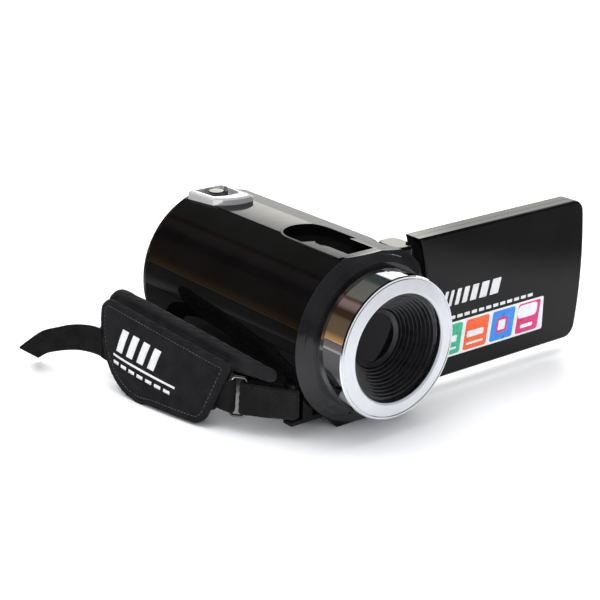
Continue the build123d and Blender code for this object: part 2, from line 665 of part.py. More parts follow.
with BuildPart() as zoom_housing:
    with BuildSketch(Plane.XY.offset(ZOOM_BASE)):
        with BuildLine():
            Polyline((4.2, 29.8), (7.0, 38.0), (3.4, 42.5), (3.4, 47.3), (-12.2, 47.3), (-10.8, 33.9))
            ThreePointArc((-10.8, 33.9), (-3.2, 29.4), (4.2, 29.8))
        make_face()
    extrude(amount=ZOOM_TOP - ZOOM_BASE)
    chamfer(zoom_housing.faces().sort_by(Axis.Z)[-1].edges(), length=0.7)
    add(body_block.part, mode=Mode.SUBTRACT)
    # pan around the lever
    with BuildSketch(Plane.XY.offset(PAN_Z)):
        pan = Polygon((-10.4, 46.2), (-9.3, 35.2), (-3.5, 33.2), (0.8, 33.4), (1.9, 36.0), (1.9, 46.2), align=None)
        fillet(pan.vertices(), radius=1.0)
    extrude(amount=5, mode=Mode.SUBTRACT)
    # low wedge at the front right
    with Locations(Plane(origin=(WEDGE_X, ZOOM_Y, ZOOM_TOP), x_dir=WEDGE_ALONG, z_dir=WEDGE_UP)):
        Box(20, 30, 4, align=(Align.MIN, Align.CENTER, Align.MIN), mode=Mode.SUBTRACT)
    with Locations((ZOOM_X, ZOOM_Y, TOP_Z)):
        Cylinder(2.45, 4, mode=Mode.SUBTRACT)
save(zoom_housing, "zoom_housing")

with BuildPart() as zoom_lever:
    with Locations((ZOOM_X, ZOOM_Y, PAN_Z + BODY_GAP + LEVER_THICK / 2)):
        Cylinder(LEVER_R, LEVER_THICK)
    # hollow stem in the top cover
    with Locations((ZOOM_X, ZOOM_Y, PAN_Z - 1.8)):
        Cylinder(2.4, 5)
    # thumb ridge across the right side
    fin_side = (sin(radians(FIN_TURN)), -cos(radians(FIN_TURN)), 0)
    with BuildSketch(Plane(origin=(ZOOM_X, ZOOM_Y, PAN_Z + BODY_GAP), x_dir=fin_side, z_dir=(0, 0, 1))):
        with Locations((FIN_OFFSET, 0)):
            RectangleRounded(1.2, FIN_LENGTH, 0.5)
    extrude(amount=2.4)
    with Locations((ZOOM_X, ZOOM_Y, PAN_Z + 2.4)):
        Cylinder(BUTTON_R + FIT, 3.0, mode=Mode.SUBTRACT)
    with Locations((ZOOM_X, ZOOM_Y, PAN_Z)):
        Cylinder(1.2 + FIT, 12, mode=Mode.SUBTRACT)
save(zoom_lever, "zoom_lever")

BUTTON_TRAVEL = 0.5

with BuildPart() as shutter_button:
    with Locations((ZOOM_X, ZOOM_Y, PAN_Z + 1.75)):
        Cylinder(BUTTON_R, BUTTON_THICK)
    with Locations((ZOOM_X, ZOOM_Y, PAN_Z - 1.2)):
        Cylinder(1.2, 5.4)
    fillet(shutter_button.edges().sort_by(Axis.Z)[-1], radius=0.25)
save(shutter_button, "shutter_button")

# ---- buttons on the flat side and the rear ----
SWITCH_X = 15.4
STEM_X = 16.6

for name, (y, z, r) in WALL_BUTTONS.items():
    with BuildPart() as button:
        with Locations(Location(((STEM_X + LCD_WALL_X - 0.1) / 2, y, z), (0, 90, 0))):
            Cylinder(r, LCD_WALL_X - 0.1 - STEM_X)
        with Locations(Location((STEM_X + 0.8, y, z), (0, 90, 0))):
            Cylinder(r + 0.9, 1.0)
        fillet(button.edges().sort_by(Axis.X)[-1], radius=0.3)
    save(button, name)

with BuildPart() as switch_board:
    with Locations((SWITCH_X - 0.5, 13.0, 44.0)):
        Box(1.0, 34, 12)
    for y, z, r in WALL_BUTTONS.values():
        with Locations(Location((SWITCH_X, y, z), (0, 90, 0))):
            Cylinder(1.6, 1.0)
save(switch_board, "switch_board")

with BuildPart() as record_button:
    with Locations(Location((RECORD_X, REAR_Y - 1.5, RECORD_Z), (90, 0, 0))):
        Cylinder(RECORD_R, 4.0)
    with Locations(Location((RECORD_X, REAR_Y - WALL - 0.9, RECORD_Z), (90, 0, 0))):
        Cylinder(RECORD_R + 1.0, 1.0)
    fillet(record_button.edges().sort_by(Axis.Y)[-1], radius=0.5)
    # dished thumb rest
    with Locations((RECORD_X, REAR_Y + 20.1, RECORD_Z)):
        Sphere(20.0, mode=Mode.SUBTRACT)
save(record_button, "record_button")

with BuildPart() as rear_switch_board:
    with Locations((RECORD_X, REAR_JOINT_Y - 1.6, RECORD_Z)):
        Box(12, 1.0, 10)
    with Locations(Location((RECORD_X, REAR_JOINT_Y - 0.9, RECORD_Z), (90, 0, 0))):
        Cylinder(1.8, 0.6)
save(rear_switch_board, "rear_switch_board")

with BuildPart() as status_light:
    with Locations(Location((LED_X, REAR_Y - 1.2, LED_Z), (90, 0, 0))):
        Cylinder(LED_R, 2.6)
save(status_light, "status_light")

with BuildPart() as speaker:
    with Locations(Location((SPEAKER_X, REAR_Y - WALL - 2.0, SPEAKER_Z), (90, 0, 0))):
        Cylinder(6.0, 3.4)
        Cylinder(3.0, 6.0, mode=Mode.INTERSECT)
    with Locations(Location((SPEAKER_X, REAR_Y - WALL - 1.8, SPEAKER_Z), (90, 0, 0))):
        Cylinder(6.0, 2.6)
save(speaker, "speaker")

with BuildPart() as microphone:
    with Locations(Location((-9.0, FRONT_Y + WALL + 1.3, 5.6), (90, 0, 0))):
        Cylinder(1.3, 2.0)
save(microphone, "microphone")

# ---- battery, its tray and its door ----
BATTERY = (28.0, 38.8, 6.4)
BATTERY_MID = (-2.7, 28.6, 12.5)
TRAY_WALL = 0.8
TRAY_BACK = 45.0

with BuildPart() as battery_pack:
    with Locations(BATTERY_MID):
        Box(*BATTERY)
    fillet(battery_pack.edges().filter_by(Axis.Y), radius=1.2)
save(battery_pack, "battery_pack")

with BuildPart() as battery_tray:
    tray_front = BATTERY_MID[1] - BATTERY[1] / 2 - 1.4 - TRAY_WALL
    with Locations((BATTERY_MID[0], (tray_front + TRAY_BACK) / 2, BATTERY_MID[2])):
        Box(BATTERY[0] + 0.3 + 2 * TRAY_WALL, TRAY_BACK - tray_front, BATTERY[2] + 0.3 + 2 * TRAY_WALL)
    with Locations((BATTERY_MID[0], (tray_front + TRAY_WALL + TRAY_BACK + 2) / 2, BATTERY_MID[2])):
        Box(BATTERY[0] + 0.3, TRAY_BACK + 2 - tray_front - TRAY_WALL, BATTERY[2] + 0.3, mode=Mode.SUBTRACT)
save(battery_tray, "battery_tray")

with BuildPart() as battery_contacts:
    for x in (-9, -2, 5):
        with Locations((x, BATTERY_MID[1] - BATTERY[1] / 2 - 0.7, BATTERY_MID[2])):
            Box(2.4, 1.2, 4.0)
save(battery_contacts, "battery_contacts")

with BuildPart() as battery_door:
    with Locations(((DOOR_LEFT + DOOR_RIGHT) / 2, REAR_Y - DOOR_THICK / 2, (DOOR_AXIS_Z + DOOR_TOP) / 2)):
        Box(DOOR_RIGHT - DOOR_LEFT, DOOR_THICK, DOOR_TOP - DOOR_AXIS_Z)
    with Locations(Location(((DOOR_LEFT + DOOR_RIGHT) / 2, DOOR_AXIS_Y, DOOR_AXIS_Z), (0, 90, 0))):
        Cylinder(1.5, DOOR_RIGHT - DOOR_LEFT)
        Cylinder(DOOR_PIN_R + FIT, DOOR_RIGHT - DOOR_LEFT + 2, mode=Mode.SUBTRACT)
    # finger nick at the top edge
    with Locations(((DOOR_LEFT + DOOR_RIGHT) / 2, REAR_Y, DOOR_TOP)):
        Box(8, 1.4, 1.6, mode=Mode.SUBTRACT)
save(battery_door, "battery_door")

with BuildPart() as door_pin:
    with Locations(Location(((DOOR_LEFT + DOOR_RIGHT) / 2, DOOR_AXIS_Y, DOOR_AXIS_Z), (0, 90, 0))):
        Cylinder(DOOR_PIN_R, DOOR_RIGHT - DOOR_LEFT + 4.4)
save(door_pin, "door_pin")

# ---- sockets, memory card and their cover ----
with BuildPart() as port_cover:
    with Locations((LCD_WALL_X - PORT_COVER / 2, PORT_MID[0], (PORT_AXIS_Z + PORT_MID[1] + PORT_H / 2) / 2)):
        Box(PORT_COVER, PORT_W, PORT_MID[1] + PORT_H / 2 - PORT_AXIS_Z)
    with Locations(Location((PORT_AXIS_X, PORT_MID[0], PORT_AXIS_Z), (90, 0, 0))):
        Cylinder(0.95, PORT_W)
        Cylinder(PORT_PIN_R + FIT, PORT_W + 2, mode=Mode.SUBTRACT)
    with Locations((LCD_WALL_X, PORT_MID[0], PORT_MID[1] + PORT_H / 2)):
        Box(1.2, 7, 1.4, mode=Mode.SUBTRACT)
save(port_cover, "port_cover")

with BuildPart() as port_pin:
    with Locations(Location((PORT_AXIS_X, PORT_MID[0], PORT_AXIS_Z), (90, 0, 0))):
        Cylinder(PORT_PIN_R, PORT_W + 3.6)
save(port_pin, "port_pin")

SOCKET_MOUTH = 18.1

with BuildPart() as usb_socket:
    with Locations((SOCKET_MOUTH - 3.5, USB_MID[0], USB_MID[1])):
        Box(7, USB_W, USB_H)
    with Locations((SOCKET_MOUTH - 2.5, USB_MID[0], USB_MID[1])):
        Box(6, USB_W - 0.8, USB_H - 0.8, mode=Mode.SUBTRACT)
    with Locations((SOCKET_MOUTH - 3.5, USB_MID[0], USB_MID[1])):
        Box(5, USB_W - 2.6, 0.9)
save(usb_socket, "usb_socket")

with BuildPart() as av_socket:
    with Locations(Location((SOCKET_MOUTH - 5, AV_MID[0], AV_MID[1]), (0, 90, 0))):
        Cylinder(AV_R, 10)
    with Locations(Location((SOCKET_MOUTH - 4, AV_MID[0], AV_MID[1]), (0, 90, 0))):
        Cylinder(1.75, 8.4, mode=Mode.SUBTRACT)
save(av_socket, "av_socket")

with BuildPart() as memory_card:
    with Locations((SOCKET_MOUTH - CARD_L / 2, PORT_MID[0], CARD_Z)):
        Box(CARD_L, CARD_W, CARD_T)
    with Locations(Location((SOCKET_MOUTH - CARD_L, PORT_MID[0] + CARD_W / 2, CARD_Z), (0, 0, 45))):
        Box(5, 5, 2 * CARD_T, mode=Mode.SUBTRACT)
save(memory_card, "memory_card")

with BuildPart() as card_socket:
    with Locations((2.0, PORT_MID[0], CARD_Z)):
        Box(CARD_L - 4, CARD_W + 2.2, CARD_T + 1.6)
    with Locations((2.8, PORT_MID[0], CARD_Z)):
        Box(CARD_L + 2, CARD_W + 0.4, CARD_T + 0.4, mode=Mode.SUBTRACT)
save(card_socket, "card_socket")

# ---- boards and fasteners ----
with BuildPart() as main_board:
    with Locations((10.1, 17.0, 40.5)):
        Box(1.2, 54, 20)
    for y, z, w, h in ((6.0, 41.0, 12, 12), (24.0, 43.0, 9, 9), (36.0, 38.0, 6, 8)):
        with Locations((9.0, y, z)):
            Box(1.2, w, h)
save(main_board, "main_board")

with BuildPart() as tripod_bush:
    with Locations((0, 0, (BUSH_H - 0.1) / 2)):
        Cylinder(BUSH_R - 0.02, BUSH_H - 0.1)
    with Locations((0, 0, (BUSH_H - 1.0) / 2)):
        Cylinder(THREAD_MINOR_R, BUSH_H - 1.0, mode=Mode.SUBTRACT)
save(tripod_bush, "tripod_bush")

with BuildPart() as shell_screws:
    for x, y in SCREWS:
        with Locations((x, y, SCREW_SEAT - 0.7)):
            Cylinder(SCREW_HEAD_R, 1.4)
            Cylinder(0.9, 1.0, mode=Mode.SUBTRACT)
        with Locations((x, y, (SCREW_SEAT + SCREW_TOP) / 2)):
            Cylinder(SCREW_R, SCREW_TOP - SCREW_SEAT)
save(shell_screws, "shell_screws")

with BuildPart() as strap_bars:
    for y in STRAP_BAR_YS:
        with Locations((STRAP_BAR_X, y, STRAP_MID)):
            Cylinder(STRAP_BAR_R, EAR_H - 2.0)
save(strap_bars, "strap_bars")

# ---- hand strap ----
# The padded part leans outwards at the bottom, so each layer is a loft from an arc band
# at the floor to an arc band at LEAN_TOP. The bands are offset along X.
LEAN_TOP = 36.0
LEAN_MARGIN = 4.0
ARC_LOW = ((-41.5, -36.0), (-51.5, -5.0), (-57.0, 46.0))
ARC_HIGH = ((-33.0, -36.0), (-41.5, 0.0), (-51.0, 46.0))
FLAP = (0.0, 2.2)
CORE = (2.5, 3.7)
CORE_FRONT = -15.2
CORE_BACK = 41.4
PAD = (4.0, 7.6)
PAD_NOSE = 1.2  # how much thinner the pad is at its front end
NOSE_LOW = STRAP_HIGH + 1.6  # lower edge of the pad above the ring


def arc_band(points, near, far, thinner):
    """Band between two arcs, offset towards the body by near and far."""
    with BuildLine() as edge:
        ThreePointArc(*[(x + near, y) for x, y in points])
        inner = [(points[0][0] + far - thinner, points[0][1])]
        inner += [(x + far, y) for x, y in points[1:]]
        ThreePointArc(*inner)
        Line((points[0][0] + near, points[0][1]), inner[0])
        Line((points[2][0] + near, points[2][1]), inner[2])
    make_face(edge.edges())


def leaning_layer(layer, thinner=0.0):
    """Curved, leaning sheet between the floor and LEAN_TOP, added to the active part."""
    with BuildSketch() as base:
        arc_band(ARC_LOW, *layer, thinner)
    # run on above LEAN_TOP at the same slope, so that the trimmed edge stays inside
    overrun = LEAN_MARGIN / LEAN_TOP
    above = [(high[0] + (high[0] - low[0]) * overrun, high[1]) for low, high in zip(ARC_LOW, ARC_HIGH)]
    with BuildSketch(Plane.XY.offset(LEAN_TOP + LEAN_MARGIN)) as top:
        arc_band(above, *layer, thinner)
    loft([base.sketch, top.sketch], ruled=True)


with BuildPart() as strap_flap:
    leaning_layer(FLAP)
    with BuildSketch(facing_side(0)):
        with BuildLine():
            Line((-17.8, 22.6), (-13.2, 5.0))
            ThreePointArc((-13.2, 5.0), (-11.1, 1.6), (-7.0, 0.5))
            Line((-7.0, 0.5), (12.0, 0.5))
            ThreePointArc((12.0, 0.5), (35.8, 8.5), (43.2, 25.0))
            ThreePointArc((43.2, 25.0), (42.6, 28.6), (39.5, 30.6))
            ThreePointArc((39.5, 30.6), (11.0, 27.0), (-17.8, 22.6))
        make_face()
    extrude(amount=-80, mode=Mode.INTERSECT)
save(strap_flap, "strap_flap")

with BuildPart() as strap_pad:
    leaning_layer(PAD, PAD_NOSE)
    with BuildSketch(facing_side(0)):
        with BuildLine():
            Line((-14.0, NOSE_LOW), (-11.0, 4.0))
            Line((-11.0, 4.0), (20.0, 3.0))
            ThreePointArc((20.0, 3.0), (39.5, 9.5), (47.0, 25.0))
            ThreePointArc((47.0, 25.0), (46.4, 30.6), (40.5, 33.4))
            ThreePointArc((40.5, 33.4), (4.0, 28.6), (-29.0, 23.4))
            ThreePointArc((-29.0, 23.4), (-31.8, 21.6), (-31.0, NOSE_LOW))
            Line((-31.0, NOSE_LOW), (-14.0, NOSE_LOW))
        make_face()
    extrude(amount=-80, mode=Mode.INTERSECT)
save(strap_pad, "strap_pad")

with BuildPart() as strap_core:
    leaning_layer(CORE)
    with BuildSketch(facing_side(0)):
        with Locations(((CORE_FRONT + CORE_BACK) / 2, STRAP_MID)):
            Rectangle(CORE_BACK - CORE_FRONT, STRAP_HIGH - STRAP_LOW)
    extrude(amount=-80, mode=Mode.INTERSECT)
save(strap_core, "strap_core")

# rectangular ring between the front loop and the core
RING_MID = Vector(-39.7, -20.3, STRAP_MID)
RING_ALONG = (RING_MID - Vector(STRAP_BAR_X, STRAP_BAR_YS[0], STRAP_MID)).normalized()
RING_NORMAL = RING_ALONG.cross(Vector(0.25, 0, 1)).normalized()
RING_UP = RING_NORMAL.cross(RING_ALONG)
RING_WIRE = 1.1
RING_W = 4.2
RING_H = STRAP_HIGH - STRAP_LOW + 1.3

with BuildPart() as strap_ring:
    with BuildSketch(Plane(origin=RING_MID, x_dir=RING_ALONG, z_dir=RING_NORMAL)):
        RectangleRounded(RING_W + 2 * RING_WIRE, RING_H + 2 * RING_WIRE, 1.0)
        Rectangle(RING_W, RING_H, mode=Mode.SUBTRACT)
    extrude(amount=RING_WIRE / 2, both=True)
save(strap_ring, "strap_ring")

# webbing loop from the front bar to the ring
WEB = 1.2
LOOP_INNER = STRAP_BAR_R + 0.15
LOOP_END = RING_MID - RING_ALONG * (RING_W + RING_WIRE) / 2


def loop_plan(z, radius):
    """Slot-shaped plan of the loop at height z."""
    shift = RING_UP * ((z - STRAP_MID) / RING_UP.Z)
    near = Vector(STRAP_BAR_X, STRAP_BAR_YS[0])
    far = Vector(LOOP_END.X + shift.X, LOOP_END.Y + shift.Y)
    mid = (near + far) / 2
    along = far - near
    with BuildSketch(Plane(origin=(mid.X, mid.Y, z), x_dir=(along.X, along.Y, 0))) as plan:
        SlotCenterToCenter(along.length, 2 * radius)
    return plan.sketch


with BuildPart() as strap_front_loop:
    loft([loop_plan(STRAP_LOW, LOOP_INNER + WEB), loop_plan(STRAP_HIGH, LOOP_INNER + WEB)], ruled=True)
    loft(
        [loop_plan(STRAP_LOW, LOOP_INNER), loop_plan(STRAP_HIGH, LOOP_INNER)],
        ruled=True,
        mode=Mode.SUBTRACT,
    )
save(strap_front_loop, "strap_front_loop")

# webbing from the rear end of the pad, round to the rear bar
with BuildPart() as strap_rear_loop:
    with BuildSketch(Plane.XY.offset(STRAP_LOW)):
        with BuildLine():
            FilletPolyline((-51.15, 43.6), (-51.0, 48.4), (-44.5, 51.2), (-29.6, 42.8), radius=2.8)
        trace(line_width=WEB)
        with Locations((STRAP_BAR_X, STRAP_BAR_YS[1])):
            Circle(LOOP_INNER + WEB)
            Circle(LOOP_INNER, mode=Mode.SUBTRACT)
    extrude(amount=STRAP_HIGH - STRAP_LOW)
save(strap_rear_loop, "strap_rear_loop")

# free end of the webbing, twisted so that it lies over towards the floor
TAIL = (
    (Vector(-54.3, 45.2, 14.6), Vector(-0.25, 0.97, 0.0), Vector(0, 0, 1)),
    (Vector(-60.2, 59.0, 12.2), Vector(-0.42, 0.87, -0.25), Vector(-0.45, 0.0, 1)),
    (Vector(-66.8, 72.0, 4.2), Vector(-0.42, 0.75, -0.5), Vector(-0.8, -0.1, 0.6)),
)

with BuildPart() as strap_tail:
    for point, along, up in TAIL:
        with BuildSketch(Plane(origin=point, x_dir=up.cross(along), z_dir=along)):
            Rectangle(WEB, STRAP_HIGH - STRAP_LOW)
    loft()
save(strap_tail, "strap_tail")
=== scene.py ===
"""Looks of the camcorder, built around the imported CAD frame. Metres, lens along -Y, +Z up."""
import math

import bmesh
import bpy
import numpy as np
from mathutils import Matrix, Vector
from mathutils.bvhtree import BVHTree


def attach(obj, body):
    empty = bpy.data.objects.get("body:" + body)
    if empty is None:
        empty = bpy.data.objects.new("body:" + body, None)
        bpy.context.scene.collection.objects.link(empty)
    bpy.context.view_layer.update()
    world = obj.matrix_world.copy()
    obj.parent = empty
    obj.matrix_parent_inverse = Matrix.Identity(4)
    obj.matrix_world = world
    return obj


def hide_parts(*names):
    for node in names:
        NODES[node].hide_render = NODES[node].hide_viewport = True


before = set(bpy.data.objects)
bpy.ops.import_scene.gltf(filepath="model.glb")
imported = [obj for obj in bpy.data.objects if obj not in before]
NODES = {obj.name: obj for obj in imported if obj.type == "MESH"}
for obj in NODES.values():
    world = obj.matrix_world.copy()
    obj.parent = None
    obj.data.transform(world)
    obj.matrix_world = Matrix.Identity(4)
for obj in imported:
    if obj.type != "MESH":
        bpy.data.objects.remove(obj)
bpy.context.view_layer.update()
MM = 0.001

# ---------------------------------------------------------------- node helpers


def node(tree, kind, **values):
    """Adds a node and sets its sockets (by name) or its own settings."""
    made = tree.nodes.new(kind)
    for key, value in values.items():
        if key in made.inputs:
            made.inputs[key].default_value = value
        else:
            setattr(made, key, value)
    return made


def link(tree, a, a_out, b, b_in):
    """Joins an output of node a to an input of node b."""
    tree.links.new(a.outputs[a_out], b.inputs[b_in])


def blank(name):
    """A material with a Principled shader. Returns the material, its tree and the shader."""
    made = bpy.data.materials.new(name)
    made.use_nodes = True
    tree = made.node_tree
    return made, tree, tree.nodes["Principled BSDF"]


def settings(shader, **values):
    """Sets the shader's sockets, which are named with _ in place of spaces."""
    for key, value in values.items():
        shader.inputs[key.replace("_", " ")].default_value = value


def remap(tree, source, out, span, onto, **kind):
    """A Map Range node that turns one span of values, low to high, into another."""
    made = node(tree, "ShaderNodeMapRange", **kind)
    made.inputs["From Min"].default_value, made.inputs["From Max"].default_value = span
    made.inputs["To Min"].default_value, made.inputs["To Max"].default_value = onto
    link(tree, source, out, made, "Value")
    return made


def coordinates(tree):
    """The piece's own coordinates, in metres, as the output Vector."""
    where = node(tree, "ShaderNodeTexCoord")
    mapping = node(tree, "ShaderNodeMapping")
    link(tree, where, "Object", mapping, "Vector")
    return mapping


def colour_noise(tree, shader, where, low, high, scale):
    """Base colour that drifts between two colours."""
    noise = node(tree, "ShaderNodeTexNoise", Scale=scale, Detail=4.0)
    ramp = node(tree, "ShaderNodeValToRGB")
    ramp.color_ramp.elements[0].position = 0.35
    ramp.color_ramp.elements[1].position = 0.65
    ramp.color_ramp.elements[0].color = (*low, 1)
    ramp.color_ramp.elements[1].color = (*high, 1)
    link(tree, where, "Vector", noise, "Vector")
    link(tree, noise, "Fac", ramp, "Fac")
    link(tree, ramp, "Color", shader, "Base Color")


def rough_noise(tree, shader, where, low, high, scale):
    """Roughness that drifts between two values."""
    noise = node(tree, "ShaderNodeTexNoise", Scale=scale, Detail=5.0)
    link(tree, where, "Vector", noise, "Vector")
    spread = remap(tree, noise, "Fac", (0.3, 0.7), (low, high))
    link(tree, spread, "Result", shader, "Roughness")


def bump(tree, shader, height, out, strength, distance, before=None):
    """Bumps from a height. before is an earlier bump that this one is added to."""
    made = node(tree, "ShaderNodeBump", Strength=strength, Distance=distance)
    link(tree, height, out, made, "Height")
    if before is not None:
        link(tree, before, "Normal", made, "Normal")
    link(tree, made, "Normal", shader, "Normal")
    return made


def noise_bump(tree, shader, where, scale, strength, distance, before=None):
    """Bumps from fine noise."""
    noise = node(tree, "ShaderNodeTexNoise", Scale=scale, Detail=3.0)
    link(tree, where, "Vector", noise, "Vector")
    return bump(tree, shader, noise, "Fac", strength, distance, before)


# ---------------------------------------------------------------- materials


def gloss_black(name, tint=(0.002, 0.002, 0.0022), ior=1.4):
    """Polished piano-black moulding with a slight ripple and faint handling marks."""
    made, tree, shader = blank(name)
    where = coordinates(tree)
    colour_noise(tree, shader, where, tint, tuple(1.6 * c for c in tint), 60.0)
    rough_noise(tree, shader, where, 0.02, 0.05, 180.0)
    first = noise_bump(tree, shader, where, 35.0, 0.03, 0.0004)
    noise_bump(tree, shader, where, 900.0, 0.02, 0.00005, first)
    settings(shader, IOR=ior)
    return made


def matte_black(name, low=(0.012, 0.012, 0.013), high=(0.022, 0.022, 0.024), rough=(0.45, 0.6)):
    """Moulded plastic with a fine grain."""
    made, tree, shader = blank(name)
    where = coordinates(tree)
    colour_noise(tree, shader, where, low, high, 400.0)
    rough_noise(tree, shader, where, *rough, 500.0)
    noise_bump(tree, shader, where, 2600.0, 0.25, 0.00006)
    return made


def metal(name, colour, rough=(0.04, 0.1), grain=0.0):
    """Bare or plated metal. More grain makes it coarser."""
    made, tree, shader = blank(name)
    where = coordinates(tree)
    colour_noise(tree, shader, where, tuple(0.93 * c for c in colour), colour, 90.0)
    rough_noise(tree, shader, where, *rough, 220.0)
    noise_bump(tree, shader, where, 700.0, 0.03 + grain, 0.00004)
    settings(shader, Metallic=1.0)
    return made


RING_RIM = -0.0550  # where the lens ring's polished rim ends, in metres along Y
RING_FACE = -0.0552  # where its satin front face begins


def ring_metal(name):
    """Polished plate whose front face is satin white."""
    made = metal(name, (0.74, 0.75, 0.79), (0.03, 0.07))
    tree = made.node_tree
    shader = tree.nodes["Principled BSDF"]
    where = node(tree, "ShaderNodeTexCoord")
    parts = node(tree, "ShaderNodeSeparateXYZ")
    link(tree, where, "Object", parts, "Vector")
    front = remap(tree, parts, "Y", (RING_RIM, RING_FACE), (0.0, 1.0))
    for socket, plated, satin in (("Roughness", 0.05, 0.38), ("Metallic", 1.0, 0.35)):
        change = remap(tree, front, "Result", (0.0, 1.0), (plated, satin))
        link(tree, change, "Result", shader, socket)
    return made


def plain(name, low, high, rough, scale=300.0, **more):
    """A plain surface that drifts between two colours. more goes to the shader's sockets."""
    made, tree, shader = blank(name)
    where = coordinates(tree)
    colour_noise(tree, shader, where, low, high, scale)
    rough_noise(tree, shader, where, rough * 0.85, rough * 1.15, scale)
    noise_bump(tree, shader, where, 1500.0, 0.08, 0.00005)
    settings(shader, **more)
    return made


def woven(name, low, high, pitch, depth, sheen):
    """Cloth: two crossed sets of threads, from the piece's UV map, in metres."""
    made, tree, shader = blank(name)
    where = node(tree, "ShaderNodeTexCoord")
    waves = []
    for direction in ("X", "Y"):
        wave = node(tree, "ShaderNodeTexWave", wave_type="BANDS", bands_direction=direction)
        wave.inputs["Scale"].default_value = 0.5 / pitch / math.pi
        wave.inputs["Distortion"].default_value = 0.6
        wave.inputs["Detail"].default_value = 1.0
        wave.inputs["Detail Scale"].default_value = 2.0
        link(tree, where, "UV", wave, "Vector")
        waves.append(wave)
    both = node(tree, "ShaderNodeMath", operation="MULTIPLY")
    for place, wave in enumerate(waves):
        link(tree, wave, "Fac", both, place)
    noise = node(tree, "ShaderNodeTexNoise", Scale=220.0, Detail=5.0)
    link(tree, where, "Object", noise, "Vector")
    mixed = node(tree, "ShaderNodeMath", operation="MULTIPLY_ADD")
    link(tree, both, "Value", mixed, 0)
    mixed.inputs[1].default_value = 0.5
    link(tree, noise, "Fac", mixed, 2)
    ramp = node(tree, "ShaderNodeValToRGB")
    ramp.color_ramp.elements[0].position = 0.35
    ramp.color_ramp.elements[1].position = 1.0
    ramp.color_ramp.elements[0].color = (*low, 1)
    ramp.color_ramp.elements[1].color = (*high, 1)
    link(tree, mixed, "Value", ramp, "Fac")
    link(tree, ramp, "Color", shader, "Base Color")
    first = bump(tree, shader, both, "Value", 0.7, depth)
    noise_bump(tree, shader, coordinates(tree), 90.0, 0.25, 0.0006, first)
    settings(shader, Roughness=0.85, Sheen_Weight=sheen, Sheen_Roughness=0.4)
    return made


def glass(name, tint, rough):
    """Clear, slightly tinted glass."""
    made, tree, shader = blank(name)
    where = coordinates(tree)
    colour_noise(tree, shader, where, tint, tuple(min(1, 1.05 * c) for c in tint), 200.0)
    rough_noise(tree, shader, where, rough, rough + 0.01, 300.0)
    settings(shader, Transmission_Weight=1.0, IOR=1.5)
    return made


MAT = {
    "shell": gloss_black("shell_black", ior=1.27),
    "panel": gloss_black("panel_black", (0.003, 0.003, 0.0034), 1.25),
    "bezel": gloss_black("bezel_black", (0.012, 0.012, 0.013)),
    "matte": matte_black("matte_black"),
    "hood": matte_black("hood_black", (0.01, 0.01, 0.011), (0.02, 0.02, 0.022), (0.32, 0.45)),
    "chrome": metal("chrome_plate", (0.86, 0.86, 0.87)),
    "ring": ring_metal("lens_ring_plate"),
    "plate": plain("zoom_plate", (0.82, 0.82, 0.83), (0.9, 0.9, 0.91), 0.12, 90.0, Metallic=0.55),
    "steel": metal("plain_steel", (0.55, 0.55, 0.56), (0.2, 0.32), 0.05),
    "brass": metal("brass", (0.78, 0.6, 0.28), (0.18, 0.3), 0.04),
    "board": plain("circuit_board", (0.01, 0.07, 0.03), (0.02, 0.11, 0.05), 0.45),
    "battery": plain("battery_grey", (0.05, 0.05, 0.055), (0.08, 0.08, 0.085), 0.5),
    "screen": plain(
        "screen_glass", (0.006, 0.007, 0.009), (0.009, 0.01, 0.012), 0.06, 40.0, Coat_Weight=1.0
    ),
    "sensor": plain("sensor", (0.02, 0.03, 0.05), (0.05, 0.03, 0.08), 0.1, 800.0),
    "light": plain("status_light", (0.1, 0.2, 0.6), (0.2, 0.35, 0.8), 0.15, Transmission_Weight=0.5),
    "white": plain("label_white", (0.78, 0.79, 0.81), (0.86, 0.87, 0.89), 0.3),
    "teal": plain("label_teal", (0.01, 0.42, 0.22), (0.02, 0.5, 0.28), 0.3),
    "orange": plain("label_orange", (0.84, 0.085, 0.004), (0.92, 0.12, 0.006), 0.3),
    "blue": plain("label_blue", (0.002, 0.2, 0.72), (0.004, 0.27, 0.86), 0.3),
    "magenta": plain("label_magenta", (0.62, 0.003, 0.13), (0.74, 0.006, 0.18), 0.3),
    "silver": plain("printed_silver", (0.7, 0.7, 0.71), (0.82, 0.82, 0.83), 0.35),
    "thread": plain("sewing_thread", (0.05, 0.05, 0.055), (0.09, 0.09, 0.1), 0.7),
    "flap": woven("flap_cloth", (0.0045, 0.005, 0.0065), (0.013, 0.0135, 0.017), 0.0004, 0.0001, 0.06),
    "pad": woven("pad_cloth", (0.006, 0.0062, 0.0075), (0.018, 0.0185, 0.021), 0.0004, 0.0001, 0.12),
    # opaque near-black lens window: painted shade in place of the dark inside of the lens seen through
    # glass
    "window": plain("window_painted_shade", (0.002, 0.002, 0.003), (0.003, 0.003, 0.005), 0.03, 60.0, IOR=1.2),
    "element": glass("lens_glass", (0.22, 0.2, 0.4), 0.0),
    "webbing": woven("webbing_cloth", (0.003, 0.003, 0.0034), (0.011, 0.011, 0.012), 0.0005, 0.0002, 0.04),
}

